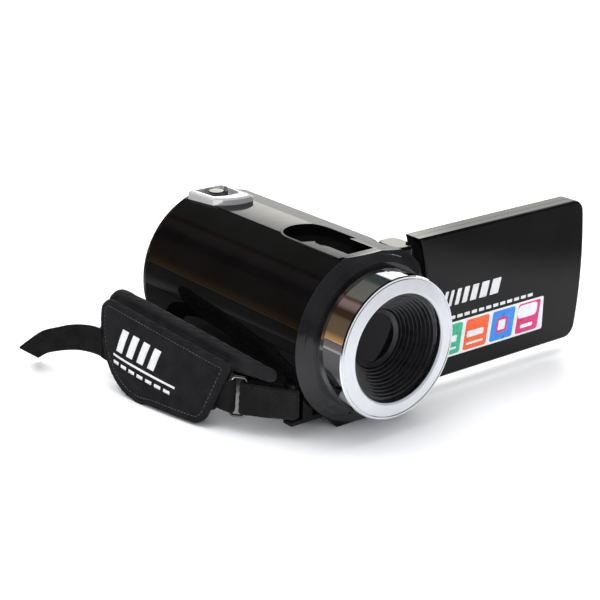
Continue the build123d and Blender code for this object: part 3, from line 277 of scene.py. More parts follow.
CAD_LOOKS = {
    "shell": "upper_shell lower_shell rear_cover battery_door port_cover accessory_shoe",
    "bezel": "front_bezel shutter_button",
    "panel": "panel_cover panel_frame hinge_block",
    "hood": "lens_hood lens_bezel",
    "matte": "hinge_pin lens_barrel battery_tray speaker microphone card_socket av_socket memory_card "
    "zoom_lever",
    "ring": "chrome_ring",
    "plate": "zoom_housing",
    "chrome": "record_button power_button mode_button play_button",
    "steel": "hinge_bracket door_pin port_pin usb_socket shell_screws strap_bars panel_screws "
    "swivel_shaft",
    "brass": "battery_contacts tripod_bush",
    "window": "lens_window",
    "element": "lens_elements",
    "screen": "lcd_screen",
    "sensor": "image_sensor",
    "light": "status_light",
    "board": "sensor_board switch_board rear_switch_board main_board panel_board",
    "battery": "battery_pack",
    "white": "panel_label",
}
for look, names in CAD_LOOKS.items():
    for name in names.split():
        mesh = NODES[name].data
        mesh.materials.clear()
        mesh.materials.append(MAT[look])

# ---------------------------------------------------------------- mesh helpers


def make_object(name, verts, faces, look, uvs=None, smooth=True):
    """A mesh object from points in millimetres. uvs, in metres, has one pair for each point."""
    mesh = bpy.data.meshes.new(name)
    mesh.from_pydata([tuple(c * MM for c in v) for v in verts], [], faces)
    mesh.update()
    if uvs is not None:
        layer = mesh.uv_layers.new(name="UVMap")
        for loop in mesh.loops:
            layer.data[loop.index].uv = uvs[loop.vertex_index]
    mesh.materials.append(MAT[look])
    if smooth:
        mesh.shade_smooth()
    made = bpy.data.objects.new(name, mesh)
    bpy.context.scene.collection.objects.link(made)
    return made


def circle_through(a, b, c):
    """Centre and radius of the circle through three points of a plane."""
    (ax, ay), (bx, by), (cx, cy) = a, b, c
    d = 2 * (ax * (by - cy) + bx * (cy - ay) + cx * (ay - by))
    a2, b2, c2 = ax * ax + ay * ay, bx * bx + by * by, cx * cx + cy * cy
    ux = (a2 * (by - cy) + b2 * (cy - ay) + c2 * (ay - by)) / d
    uy = (a2 * (cx - bx) + b2 * (ax - cx) + c2 * (bx - ax)) / d
    return ux, uy, math.hypot(ax - ux, ay - uy)


def arc_x(a, b, c):
    """x as a function of y, on the circle through three (x, y) points that bulges towards -X."""
    ux, uy, r = circle_through(a, b, c)
    return lambda y: ux - math.sqrt(max(r * r - (y - uy) ** 2, 0.0))


# the leaning, curved sheet that the padded part of the strap follows
LEAN_TOP = 36.0
ARC_LOW = arc_x((-41.5, -36.0), (-51.5, -5.0), (-57.0, 46.0))
ARC_HIGH = arc_x((-33.0, -36.0), (-41.5, 0.0), (-51.0, 46.0))
STRAP_LOW = 6.6
STRAP_HIGH = 17.4
STRAP_MID = (STRAP_LOW + STRAP_HIGH) / 2


def lean_x(y, z):
    """Where the sheet is at (y, z)."""
    low = ARC_LOW(y)
    return low + (ARC_HIGH(y) - low) * z / LEAN_TOP


def turn_between(start, end):
    """The shorter turn from one angle to another, in radians."""
    return (end - start + math.pi) % (2 * math.pi) - math.pi


def arc_points(a, b, c, count):
    """Points on the circle from a through b to c, in the plane."""
    ux, uy, r = circle_through(a, b, c)
    start, through, end = (math.atan2(y - uy, x - ux) for x, y in (a, b, c))
    sweep = turn_between(start, through) + turn_between(through, end)
    angles = [start + sweep * k / count for k in range(count + 1)]
    return [(ux + r * math.cos(v), uy + r * math.sin(v)) for v in angles]


SAME_POINT = 0.05  # mm


def chain(*parts):
    """One closed outline from runs of points, without repeats."""
    out = []
    for run in parts:
        for p in run:
            if not out or math.dist(out[-1], p) > SAME_POINT:
                out.append(p)
    if math.dist(out[0], out[-1]) < SAME_POINT:
        out.pop()
    return out


def edge_distance(points, outline):
    """Distance of each (y, z) point from the outline."""
    p = np.asarray(points, float)[:, None, :]
    a = np.asarray(outline, float)
    b = np.roll(a, -1, axis=0)
    ab = (b - a)[None]
    t = np.clip(((p - a[None]) * ab).sum(-1) / (ab**2).sum(-1), 0, 1)
    near = a[None] + t[..., None] * ab
    return np.sqrt(((p - near) ** 2).sum(-1)).min(1)


BIG = 10.0  # the cloth is simulated at this many times its size, flat
VOXEL = 0.8  # mm
SIM_FRAMES = 18


def flat_slab(name, outline, thick):
    """A flat slab of the outline, remeshed. Its points are (w, y, z) in metres, times BIG."""
    bm = bmesh.new()
    k = MM * BIG
    ring = [bm.verts.new((0, y * k, z * k)) for y, z in outline]
    face = bm.faces.new(ring)
    grown = bmesh.ops.extrude_face_region(bm, geom=[face])
    moved = [g for g in grown["geom"] if isinstance(g, bmesh.types.BMVert)]
    bmesh.ops.translate(bm, verts=moved, vec=(thick * k, 0, 0))
    bmesh.ops.recalc_face_normals(bm, faces=bm.faces)
    mesh = bpy.data.meshes.new(name)
    bm.to_mesh(mesh)
    bm.free()
    made = bpy.data.objects.new(name, mesh)
    bpy.context.scene.collection.objects.link(made)
    remesh = made.modifiers.new("remesh", "REMESH")
    remesh.mode = "VOXEL"
    remesh.voxel_size = VOXEL * k
    bake(made)
    return made


def bake(made):
    """Applies the object's modifiers."""
    shown = made.evaluated_get(bpy.context.evaluated_depsgraph_get())
    mesh = bpy.data.meshes.new_from_object(shown)
    old = made.data
    made.modifiers.clear()
    made.data = mesh
    bpy.data.meshes.remove(old)


def points_of(made):
    """The mesh's points as an array."""
    flat = np.empty(3 * len(made.data.vertices))
    made.data.vertices.foreach_get("co", flat)
    return flat.reshape(-1, 3)


def set_points(made, points):
    """Moves the mesh's points."""
    made.data.vertices.foreach_set("co", np.asarray(points, float).ravel())
    made.data.update()


def inflate(made, pinned, pressure, cap):
    """Cloth under pressure, with some points held. The result is applied, at most cap mm out."""
    before = points_of(made)
    group = made.vertex_groups.new(name="held")
    group.add([int(i) for i in np.flatnonzero(pinned)], 1.0, "REPLACE")
    cloth = made.modifiers.new("cloth", "CLOTH")
    use = cloth.settings
    use.quality = 6
    use.mass = 0.3
    use.tension_stiffness = use.compression_stiffness = 12.0
    use.shear_stiffness = 6.0
    use.bending_stiffness = 0.4
    use.use_pressure = True
    use.uniform_pressure_force = pressure
    use.effector_weights.gravity = 0.0
    use.vertex_group_mass = "held"
    scene = bpy.context.scene
    for f in range(1, SIM_FRAMES + 1):
        scene.frame_set(f)
    shown = made.evaluated_get(bpy.context.evaluated_depsgraph_get())
    flat = np.empty(3 * len(shown.data.vertices))
    shown.data.vertices.foreach_get("co", flat)
    after = flat.reshape(-1, 3)
    made.modifiers.clear()
    made.vertex_groups.clear()
    scene.frame_set(1)
    step = after - before
    size = np.linalg.norm(step, axis=1, keepdims=True)
    limit = cap * MM * BIG
    set_points(made, before + step * np.minimum(1.0, limit / np.maximum(size, 1e-9)))


def sewn(name, outline, thick, line, groove, pressure, cap, look):
    """A padded piece, still flat and big, with a stitched groove line mm inside its edge."""
    made = flat_slab(name, outline, thick)
    k = MM * BIG
    p = points_of(made)
    inside = edge_distance(p[:, 1:] / k, outline)
    middle = thick / 2 * k
    # pinch the stitching line together
    pinch = np.exp(-(((inside - line) / groove) ** 2))
    p[:, 0] = middle + (p[:, 0] - middle) * (1 - 0.45 * pinch)
    # round the edge off
    near = np.clip(1 - inside / (thick / 2), 0, 1)
    p[:, 0] = middle + (p[:, 0] - middle) * (1 - 0.5 * near**2)
    set_points(made, p)
    inflate(made, pinch > 0.8, pressure, cap)
    smooth = made.modifiers.new("smooth", "SUBSURF")
    smooth.levels = 1
    bake(made)
    made.data.materials.append(MAT[look])
    return made


def wrap(made, place):
    """Bends the flat piece into place. place maps (w, y, z) in mm to the point in mm."""
    p = points_of(made) / (MM * BIG)
    layer = made.data.uv_layers.new(name="UVMap")
    index = np.empty(len(made.data.loops), int)
    made.data.loops.foreach_get("vertex_index", index)
    layer.data.foreach_set("uv", (p[index][:, 1:] * MM).ravel())
    set_points(made, [[c * MM for c in place(*q)] for q in p])
    made.data.shade_smooth()


# ---------------------------------------------------------------- hand strap: flap and pad
FLAP_THICK = 2.0
FLAP_LINE = 2.4
FLAP_OFF = 0.1
flap_line = chain(
    [(-17.8, 22.6), (-13.2, 5.0)],
    arc_points((-13.2, 5.0), (-11.1, 1.6), (-7.0, 0.5), 6),
    [(-7.0, 0.5), (12.0, 0.5)],
    arc_points((12.0, 0.5), (37.3, 8.0), (45.2, 25.0), 40),
    arc_points((45.2, 25.0), (44.5, 28.9), (41.2, 30.8), 8),
    arc_points((41.2, 30.8), (12.0, 27.1), (-17.8, 22.6), 40),
)
flap = sewn("strap_flap_cloth", flap_line, FLAP_THICK, FLAP_LINE, 0.7, 3.0, 0.5, "flap")
wrap(flap, lambda w, y, z: (lean_x(y, z) + FLAP_OFF + w, y, z))

PAD_NEAR = 4.1  # from the curved sheet
PAD_THICK = 3.3
PAD_LINE = 3.0
PAD_NOSE = 1.1  # how much thinner the pad is at its nose
NOSE_START = -5.0
NOSE_LENGTH = 31.0
NOSE_LOW = STRAP_HIGH + 1.8
pad_line = chain(
    [(-14.0, NOSE_LOW), (-11.0, 4.2), (20.0, 3.2)],
    arc_points((20.0, 3.2), (39.3, 9.7), (46.8, 25.0), 40),
    arc_points((46.8, 25.0), (46.2, 30.4), (40.5, 33.2), 10),
    arc_points((40.5, 33.2), (4.0, 28.4), (-28.8, 23.2), 40),
    arc_points((-28.8, 23.2), (-31.5, 21.6), (-30.8, NOSE_LOW), 6),
)
pad = sewn("strap_pad_cloth", pad_line, PAD_THICK, PAD_LINE, 0.8, 4.0, 0.5, "pad")


def pad_place(w, y, z):
    """Where a point of the flat pad goes. It thins towards its nose."""
    thinner = PAD_NOSE * min(max((NOSE_START - y) / NOSE_LENGTH, 0.0), 1.0)
    return (lean_x(y, z) + PAD_NEAR + w * (1 - thinner / PAD_THICK), y, z)


wrap(pad, pad_place)
for piece, cad in ((flap, "strap_flap"), (pad, "strap_pad")):
    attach(piece, "body")
    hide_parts(cad)

# ---------------------------------------------------------------- webbing
RIB = 1.05  # mm between the ribs of the webbing
RIB_DEEP = 0.13
RIB_COLUMNS = 9  # columns of ribs across the width, each out of step with the next
CELLS_ACROSS = 20
SELVEDGE = 0.5  # how far in from each edge the band thins, as a share of its thickness
THINNEST = 0.06  # the square of the band's thickness at its very edge, as a share


def smooth_path(points, step=0.35):
    """Points every step mm or so on a Catmull-Rom curve through the given ones."""
    p = [np.asarray(q, float) for q in points]
    p = [2 * p[0] - p[1], *p, 2 * p[-1] - p[-2]]
    out = []
    for a, b, c, d in zip(p, p[1:], p[2:], p[3:]):
        count = max(2, int(np.linalg.norm((c - b)[:3]) / step))
        for i in range(count):
            t = i / count
            squared = (2 * a - 5 * b + 4 * c - d) * t * t
            cubed = (3 * b - a - 3 * c + d) * t**3
            out.append(0.5 * (2 * b + (c - a) * t + squared + cubed))
    out.append(p[-2])
    return np.array(out)


def webbing(name, rows, width, thick, closed=False):
    """A woven band. rows are (x, y, z, ux, uy, uz): its middle line and the way its width runs.

    Returns the object and the length of its middle line in mm.
    """
    rows = smooth_path([*rows, rows[0]] if closed else rows)
    mid, up = rows[:, :3], rows[:, 3:]
    if closed:
        mid, up = mid[:-1], up[:-1]
    up = up / np.linalg.norm(up, axis=1, keepdims=True)
    along = np.roll(mid, -1, 0) - np.roll(mid, 1, 0) if closed else np.gradient(mid, axis=0)
    along /= np.linalg.norm(along, axis=1, keepdims=True)
    out = np.cross(along, up)
    out /= np.linalg.norm(out, axis=1, keepdims=True)
    run = np.concatenate([[0], np.cumsum(np.linalg.norm(np.diff(mid, axis=0), axis=1))])
    # each point of the section: its place across the width, and which face it is on
    section = [(i / CELLS_ACROSS - 0.5, 1) for i in range(CELLS_ACROSS + 1)]
    section += [(0.5 - i / CELLS_ACROSS, -1) for i in range(CELLS_ACROSS + 1)]
    verts, uvs = [], []
    for k in range(len(mid)):
        for v, side in section:
            t = v * width
            edge = max(0.0, 1 - (width / 2 - abs(t)) / (SELVEDGE * thick))
            shift = 0 if int((v + 0.5) * RIB_COLUMNS) % 2 else math.pi
            weave = math.cos(math.pi * run[k] / RIB + shift)
            dip = RIB_DEEP * (0.5 - 0.5 * weave) * (1 - edge)
            lift = (thick / 2) * math.sqrt(max(1 - edge * edge, THINNEST)) - dip
            verts.append(mid[k] + up[k] * t + out[k] * side * lift)
            uvs.append(((run[k] + 3 * side) * MM, t * MM))
    n = len(section)
    faces = []
    rings = len(mid) if closed else len(mid) - 1
    for k in range(rings):
        a, b = k * n, ((k + 1) % len(mid)) * n
        for i in range(n):
            j = (i + 1) % n
            faces.append((a + i, a + j, b + j, b + i))
    if not closed:
        faces.append(tuple(range(n))[::-1])
        faces.append(tuple(range(len(verts) - n, len(verts))))
    made = make_object(name, verts, faces, "webbing", uvs)
    bm = bmesh.new()
    bm.from_mesh(made.data)
    bmesh.ops.recalc_face_normals(bm, faces=bm.faces)
    bm.to_mesh(made.data)
    bm.free()
    made.data.shade_smooth()
    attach(made, "body")
    return made, float(run[-1])


WIDTH = STRAP_HIGH - STRAP_LOW
THICK = 1.2
BAR_R = 1.25
BAR = Vector((-28.6, -35.2, STRAP_MID))
REAR_BAR = (-28.6, 40.8)
UP = Vector((0, 0, 1))
# directions of the leaning ring: along the strap, out of its plane, up it and level across it
RING_MID = Vector((-39.7, -20.3, STRAP_MID))
RING_ALONG = (RING_MID - BAR).normalized()
RING_NORMAL = RING_ALONG.cross(Vector((0.25, 0, 1))).normalized()
RING_UP = RING_NORMAL.cross(RING_ALONG)
RING_SIDE = Vector((RING_ALONG.y, -RING_ALONG.x, 0)).normalized()
RING_W = 4.2  # inside its legs
RING_WIRE = 1.1
RING_H = WIDTH + 1.3
RING_CORNER = 1.3
LEG = (RING_W + RING_WIRE) / 2
LEG_NEAR = RING_MID - RING_ALONG * LEG
LEG_FAR = RING_MID + RING_ALONG * LEG
LOOP_R = BAR_R + THICK / 2
CORE_THICK = 0.9
WIRE_CLEAR = 0.65
CORE_R = WIRE_CLEAR + THICK / 2
BEND_STEPS = 6
SLACK = 0.15  # how far the two layers of the front loop sway from straight


def around(centre, start, sweep, radius, up):
    """Rows on an arc round a bar. Angles are in radians from RING_ALONG towards RING_SIDE."""
    rows = []
    for i in range(BEND_STEPS + 1):
        t = start + sweep * i / BEND_STEPS
        p = centre + RING_ALONG * (math.cos(t) * radius) + RING_SIDE * (math.sin(t) * radius)
        rows.append((*p, *up))
    return rows


def between_bars(shares, face):
    """Rows from the front bar to the ring on one layer, 1 or -1, of the front loop."""
    rows = []
    for share in shares:
        p = BAR.lerp(LEG_NEAR, share) + RING_SIDE * (face * (LOOP_R - SLACK * math.sin(share * 9)))
        rows.append((*p, *UP.lerp(RING_UP, share)))
    return rows


front_rows = [
    *around(BAR, math.pi / 2, math.pi, LOOP_R, UP),
    *between_bars((0.3, 0.55, 0.8), -1),
    *around(LEG_NEAR, -math.pi / 2, math.pi, LOOP_R, RING_UP),
    *between_bars((0.8, 0.55, 0.3), 1),
]
front_loop, length = webbing("strap_front_webbing", front_rows, WIDTH, THICK, closed=True)
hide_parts("strap_front_loop")

# core: round the ring's far leg and back between the flap and the pad
CORE_DEEP = 3.1  # behind the curved sheet that the flap lies on
CORE_LEAN = 0.22
core_rows = []
for y in (38.0, 28.0, 18.0, 8.0, -2.0, -10.0):
    core_rows.append((lean_x(y, STRAP_MID) + CORE_DEEP, y, STRAP_MID, CORE_LEAN, 0, 1))
core_rows += around(LEG_FAR, -math.pi / 2, -math.pi, CORE_R, RING_UP)
core, length = webbing("strap_core_webbing", core_rows, WIDTH, CORE_THICK)
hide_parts("strap_core")

# rear loop, hidden behind the pad
rear_rows = [
    (-51.15, 43.6),
    (-51.1, 46.5),
    (-50.2, 49.2),
    (-47.6, 50.6),
    (-44.2, 50.9),
    (-39.0, 48.2),
    (-34.0, 45.3),
]
for degrees in (70, 20, -30, -80, -130):
    t = math.radians(degrees)
    rear_rows.append((REAR_BAR[0] + LOOP_R * math.cos(t), REAR_BAR[1] + LOOP_R * math.sin(t)))
rear_rows = [(x, y, STRAP_MID, *UP) for x, y in rear_rows]
rear, length = webbing("strap_rear_webbing", rear_rows, WIDTH, THICK)
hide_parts("strap_rear_loop")

# free end, arched and then twisted over towards the floor
tail_rows = [
    (-53.6, 42.2, 14.4, 0, 0, 1),
    (-54.9, 47.2, 14.6, -0.05, 0, 1),
    (-57.4, 53.6, 13.9, -0.22, 0, 1),
    (-60.2, 59.0, 12.3, -0.42, 0, 0.95),
    (-62.8, 64.0, 10.4, -0.5, -0.05, 0.9),
    (-65.0, 68.4, 7.4, -0.72, -0.1, 0.7),
    (-66.8, 72.0, 4.3, -0.8, -0.1, 0.6),
]
tail, length = webbing("strap_tail_webbing", tail_rows, WIDTH, THICK)
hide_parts("strap_tail")


def ring_path():
    """The middle line of the ring's wire: a rectangle with round corners."""
    steps = 5
    points = []
    for sx, sy, t0 in ((1, 1, 0), (-1, 1, 90), (-1, -1, 180), (1, -1, 270)):
        for i in range(steps + 1):
            t = math.radians(t0 + 90 / steps * i)
            a = sx * (LEG - RING_CORNER) + RING_CORNER * math.cos(t)
            b = sy * ((RING_H + RING_WIRE) / 2 - RING_CORNER) + RING_CORNER * math.sin(t)
            points.append(RING_MID + RING_ALONG * a + RING_UP * b)
    return points


def ring_wire():
    """The strap's ring, bent from round wire."""
    sides = 16
    path = ring_path()
    count = len(path)
    verts, faces = [], []
    for k, p in enumerate(path):
        along = (path[(k + 1) % count] - path[k - 1]).normalized()
        across = along.cross(RING_NORMAL).normalized()
        for i in range(sides):
            t = 2 * math.pi * i / sides
            verts.append(p + (across * math.cos(t) + RING_NORMAL * math.sin(t)) * (RING_WIRE / 2))
            j, n = (i + 1) % sides, (k + 1) % count
            faces.append((k * sides + i, k * sides + j, n * sides + j, n * sides + i))
    made = make_object("strap_ring_wire", verts, faces, "chrome")
    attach(made, "body")
    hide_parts("strap_ring")


ring_wire()

# ---------------------------------------------------------------- printed trim on the flap
RAY_START = -0.2  # metres, outside the strap


def surface_of(made):
    """A function that gives where a ray along +X at (y, z), in mm, first meets the piece."""
    bm = bmesh.new()
    bm.from_mesh(made.data)
    tree = BVHTree.FromBMesh(bm)
    bm.free()

    def find(y, z):
        hit = tree.ray_cast(Vector((RAY_START, y * MM, z * MM)), Vector((1, 0, 0)))
        return hit[0].x / MM if hit[0] is not None else None

    return find


flap_face = surface_of(flap)
MOTIF_LIFT = 0.12  # mm proud of the cloth
MOTIF_THICK = 0.27


def motif(name, corners, steps):
    """A flat printed patch on the flap. corners are four (y, z) points in mm."""
    a, b, c, d = (np.asarray(p, float) for p in corners)
    nu, nv = steps
    verts, faces = [], []
    for j in range(nv + 1):
        for i in range(nu + 1):
            u, v = i / nu, j / nv
            y, z = (a * (1 - u) + b * u) * (1 - v) + (d * (1 - u) + c * u) * v
            verts.append((flap_face(y, z) - MOTIF_LIFT, y, z))
    top = len(verts)
    verts += [(x + MOTIF_THICK, y, z) for x, y, z in verts]
    for j in range(nv):
        for i in range(nu):
            p = j * (nu + 1) + i
            quad = (p, p + 1, p + nu + 2, p + nu + 1)
            faces.append(quad)
            faces.append(tuple(q + top for q in quad[::-1]))
    rim = list(range(nu + 1))
    rim += [(j + 1) * (nu + 1) - 1 for j in range(1, nv + 1)]
    rim += [nv * (nu + 1) + i for i in range(nu - 1, -1, -1)]
    rim += [j * (nu + 1) for j in range(nv - 1, 0, -1)]
    for p, q in zip(rim, rim[1:] + rim[:1]):
        faces.append((q, p, p + top, q + top))
    made = make_object(name, verts, faces, "silver")
    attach(made, "body")


# four slanted bars, a rule and a row of dashes: a plain pattern in place of the maker's words
for i in range(4):
    y = 33.0 - 5.6 * i
    low, high = 14.6 - 0.5 * i, 22.6 - 0.75 * i
    bar = [(y, low), (y - 3.2, low - 0.3), (y - 4.6, high - 0.4), (y - 1.4, high)]
    motif(f"flap_bar_{i}", bar, (6, 14))
motif("flap_rule", [(34.4, 12.6), (2.0, 9.6), (2.0, 10.3), (34.4, 13.3)], (60, 2))
for i in range(7):
    y = 33.8 - 4.5 * i
    z = 10.9 - 0.43 * i
    dash = [(y, z - 0.9), (y - 3.0, z - 1.18), (y - 3.0, z - 0.08), (y, z + 0.2)]
    motif(f"flap_dash_{i}", dash, (8, 2))


def offset_line(outline, inset):
    """The outline moved inwards."""
    p = np.asarray(outline, float)
    area = sum(a[0] * b[1] - b[0] * a[1] for a, b in zip(p, np.roll(p, -1, 0)))
    out = []
    for k in range(len(p)):
        tangent = p[(k + 1) % len(p)] - p[k - 1]
        tangent /= np.linalg.norm(tangent)
        normal = np.array([-tangent[1], tangent[0]]) * (1 if area > 0 else -1)
        out.append(p[k] + normal * inset)
    return np.array(out)


STITCH_PITCH = 1.5
STITCH_LENGTH = 1.05
STITCH_SIDES = 6
# a stitch's sections: share of its length, height over the cloth and thread radius
STITCH_SECTIONS = ((0, -0.05, 0.1), (0.25, 0.1, 0.16), (0.75, 0.1, 0.16), (1, -0.05, 0.1))


def stitches(name, outline, inset, surface):
    """A row of stitches inset mm inside the outline, on the surface."""
    line = offset_line(outline, inset)
    line = line[edge_distance(line, outline) > inset * 0.93]
    seg = np.linalg.norm(np.roll(line, -1, 0) - line, axis=1)
    total = seg.sum()
    run = np.concatenate([[0], np.cumsum(seg)])
    closed = np.vstack([line, line[:1]])
    verts, faces = [], []
    for s in np.arange(0, total - STITCH_PITCH, STITCH_PITCH):
        ring = []
        for share, lift, r in STITCH_SECTIONS:
            at = s + share * STITCH_LENGTH
            y, z = (np.interp(at, run, closed[:, c]) for c in (0, 1))
            ahead = [np.interp(min(at + 0.2, total), run, closed[:, c]) for c in (0, 1)]
            t = np.array([0, ahead[0] - y, ahead[1] - z])
            t /= np.linalg.norm(t)
            x = surface(y, z)
            if x is None:
                break
            n = np.cross(t, (1, 0, 0))
            ring.append(len(verts))
            for i in range(STITCH_SIDES):
                w = 2 * math.pi * i / STITCH_SIDES
                out, sideways = r * math.cos(w), r * math.sin(w)
                verts.append((x - lift - out, y + n[1] * sideways, z + n[2] * sideways))
        if len(ring) < len(STITCH_SECTIONS):
            continue
        for a, b in zip(ring, ring[1:]):
            for i in range(STITCH_SIDES):
                j = (i + 1) % STITCH_SIDES
                faces.append((a + i, a + j, b + j, b + i))
        faces.append(tuple(ring[0] + i for i in range(STITCH_SIDES - 1, -1, -1)))
        faces.append(tuple(ring[-1] + i for i in range(STITCH_SIDES)))
    made = make_object(name, verts, faces, "thread")
    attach(made, "body")


stitches("flap_stitches", flap_line, FLAP_LINE, flap_face)

# ---------------------------------------------------------------- printed trim on the screen panel
PANEL_FACE = -38.3
LABEL_FACE = PANEL_FACE - 0.12
SQUARE_LEFT = 33.6
SQUARE_PITCH = 13.4
SQUARE_W = 11.6
SQUARE_LOW = 13.6
SQUARE_HIGH = 25.0
SQUARE_SLANT = 0.13
BAR_SLANT = 0.25
# patches on each square: left, right, low, high, how far in front of the label, corner, colour
LINE_PATCHES = (
    (1.6, 10.0, 18.2, 20.6, 0.09, 0.6, "white"),
    (1.6, 10.0, 15.4, 16.2, 0.09, 0.3, "white"),
)
BOX_PATCHES = (
    (3.0, 8.6, 16.4, 22.2, 0.09, 0.5, "magenta"),
    (4.0, 7.6, 17.4, 21.2, 0.12, 0.4, "white"),
)
CLOUD_PATCHES = (
    (0.8, 10.8, 19.4, 24.4, 0.09, 1.6, "white"),
    (2.6, 9.0, 15.4, 16.8, 0.09, 0.5, "white"),
)
SQUARES = (
    ("teal", LINE_PATCHES),
    ("orange", LINE_PATCHES),
    ("blue", BOX_PATCHES),
    ("magenta", CLOUD_PATCHES),
)
# slanted bars that grow wider to the right: left edge and width
PANEL_BARS = ((36.0, 1.4), (38.8, 1.4), (41.9, 1.9), (45.4, 2.4), (49.4, 3.0), (54.0, 3.7), (59.3, 4.3))


def plate(name, x0, x1, z0, z1, front, deep, corner, look, slant):
    """A thin rounded plate on the front face of the screen panel."""
    steps = 4
    outline = []
    for cx, cz, t0 in ((x1, z1, 0), (x0, z1, 90), (x0, z0, 180), (x1, z0, 270)):
        sx, sz = (1 if cx == x1 else -1), (1 if cz == z1 else -1)
        for i in range(steps + 1):
            t = math.radians(t0 + 90 / steps * i)
            z = cz - sz * corner + corner * math.sin(t)
            outline.append((cx - sx * corner + corner * math.cos(t) + slant * (z - z0), z))
    n = len(outline)
    verts = [(x, front, z) for x, z in outline] + [(x, front + deep, z) for x, z in outline]
    faces = [tuple(range(n)), tuple(range(2 * n - 1, n - 1, -1))]
    faces += [(i, n + i, n + (i + 1) % n, (i + 1) % n) for i in range(n)]
    made = make_object(name, verts, faces, look, smooth=False)
    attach(made, "screen_panel")


def square(number, look, patches):
    """One coloured square of the label, with its two plain patches."""
    x = SQUARE_LEFT + SQUARE_PITCH * number
    front = LABEL_FACE - 0.05
    name = f"label_square_{number}"
    plate(name, x, x + SQUARE_W, SQUARE_LOW, SQUARE_HIGH, front, 0.06, 0.9, look, SQUARE_SLANT)
    for ending, (left, right, low, high, ahead, corner, colour) in zip(("", "b"), patches):
        name = f"label_inset_{number}{ending}"
        front = LABEL_FACE - ahead
        plate(name, x + left, x + right, low, high, front, 0.05, corner, colour, SQUARE_SLANT)


for number, (look, patches) in enumerate(SQUARES):
    square(number, look, patches)
# trim above the label: slanted bars and a row of dashes, with no letters
TRIM_FACE = PANEL_FACE - 0.06
for i, (x, w) in enumerate(PANEL_BARS):
    plate(f"panel_bar_{i}", x, x + w, 32.2, 38.0, TRIM_FACE, 0.08, 0.3, "silver", BAR_SLANT)
for i in range(12):
    x = 40.0 + 3.6 * i
    plate(f"panel_dash_{i}", x, x + 2.6, 27.0, 28.2, TRIM_FACE, 0.08, 0.2, "silver", 0.0)

# ---------------------------------------------------------------- floor, light and camera
FLOOR_CORNERS = [(-6, -4, 0), (6, -4, 0), (6, 8, 0), (-6, 8, 0)]
FLOOR_DROP = 0.0001
# Painted shade on the floor, seen only in reflections: its colour is dimmed for glossy rays.
# Centre, the distances in metres between which it changes, and its share of full brightness
# at each. It fades out away from the object, and it is dim where the top of the panel mirrors
# it and by the hand strap.
FLOOR_REFLECTION_SHADE = (
    ((0.1, -0.12, 0), (0.16, 0.42), (1.0, 0.12)),
    ((0.24, -0.19, 0), (0.07, 0.13), (0.3, 1.0)),
    ((-0.075, 0.045, 0), (0.07, 0.1), (0.1, 1.0)),
)
# What polished surfaces mirror: bands of light that run along the lens axis, given by their
# angle in degrees above +X. A bright backdrop, a dark gap, a grey ceiling and a wooden wall.
BANDS = (
    (0, (1.2, 1.2, 1.17)),
    (10, (1.3, 1.3, 1.27)),
    (15, (1.9, 1.9, 1.8)),
    (24, (2.1, 2.1, 2.0)),
    (25.4, (4.6, 4.55, 4.2)),
    (26.3, (4.6, 4.5, 4.1)),
    (26.9, (2.2, 2.18, 2.1)),
    (27.6, (0.9, 0.9, 0.92)),
    (31, (1.2, 1.2, 1.22)),
    (43, (1.5, 1.5, 1.5)),
    (46, (0.04, 0.055, 0.055)),
    (64, (0.05, 0.062, 0.06)),
    (72, (0.15, 0.155, 0.13)),
    (104, (0.17, 0.165, 0.135)),
    (109, (0.07, 0.045, 0.03)),
    (115, (0.28, 0.19, 0.17)),
    (123, (0.2, 0.15, 0.14)),
    (130, (0.045, 0.022, 0.014)),
    (139, (0.05, 0.026, 0.016)),
    (144, (0.13, 0.09, 0.055)),
    (168, (0.16, 0.11, 0.06)),
    (177, (0.55, 0.3, 0.1)),
)
HALF_TURN = 180
BAND_TOP = 4.6  # the ramp holds each colour divided by this
FRONT_SHARE = 0.08  # what is left of the bands in front of the object
SOFT_LIGHT = (0.95, 0.96, 0.98)
# name, place, aim, size and watts of each area light
LIGHTS = (
    ("overhead", (0.05, 0.35, 1.3), (0, 0.02, 0), (1.6, 1.2), 18.0),
    ("behind", (0.9, 1.1, 0.62), (0, 0, 0.05), (1.4, 0.5), 10.0),
    ("front_fill", (-0.9, -1.2, 0.9), (0, 0, 0.03), (0.8, 0.8), 3.0),
)
CAMERA_AT = (-0.338255, -0.41642, 0.229717)
HEADING = math.radians(39.313)
TILT = math.radians(20.247)
ROLL = math.radians(1.113)
CAMERA_LENS = 96.65
SENSOR_WIDTH = 36.0


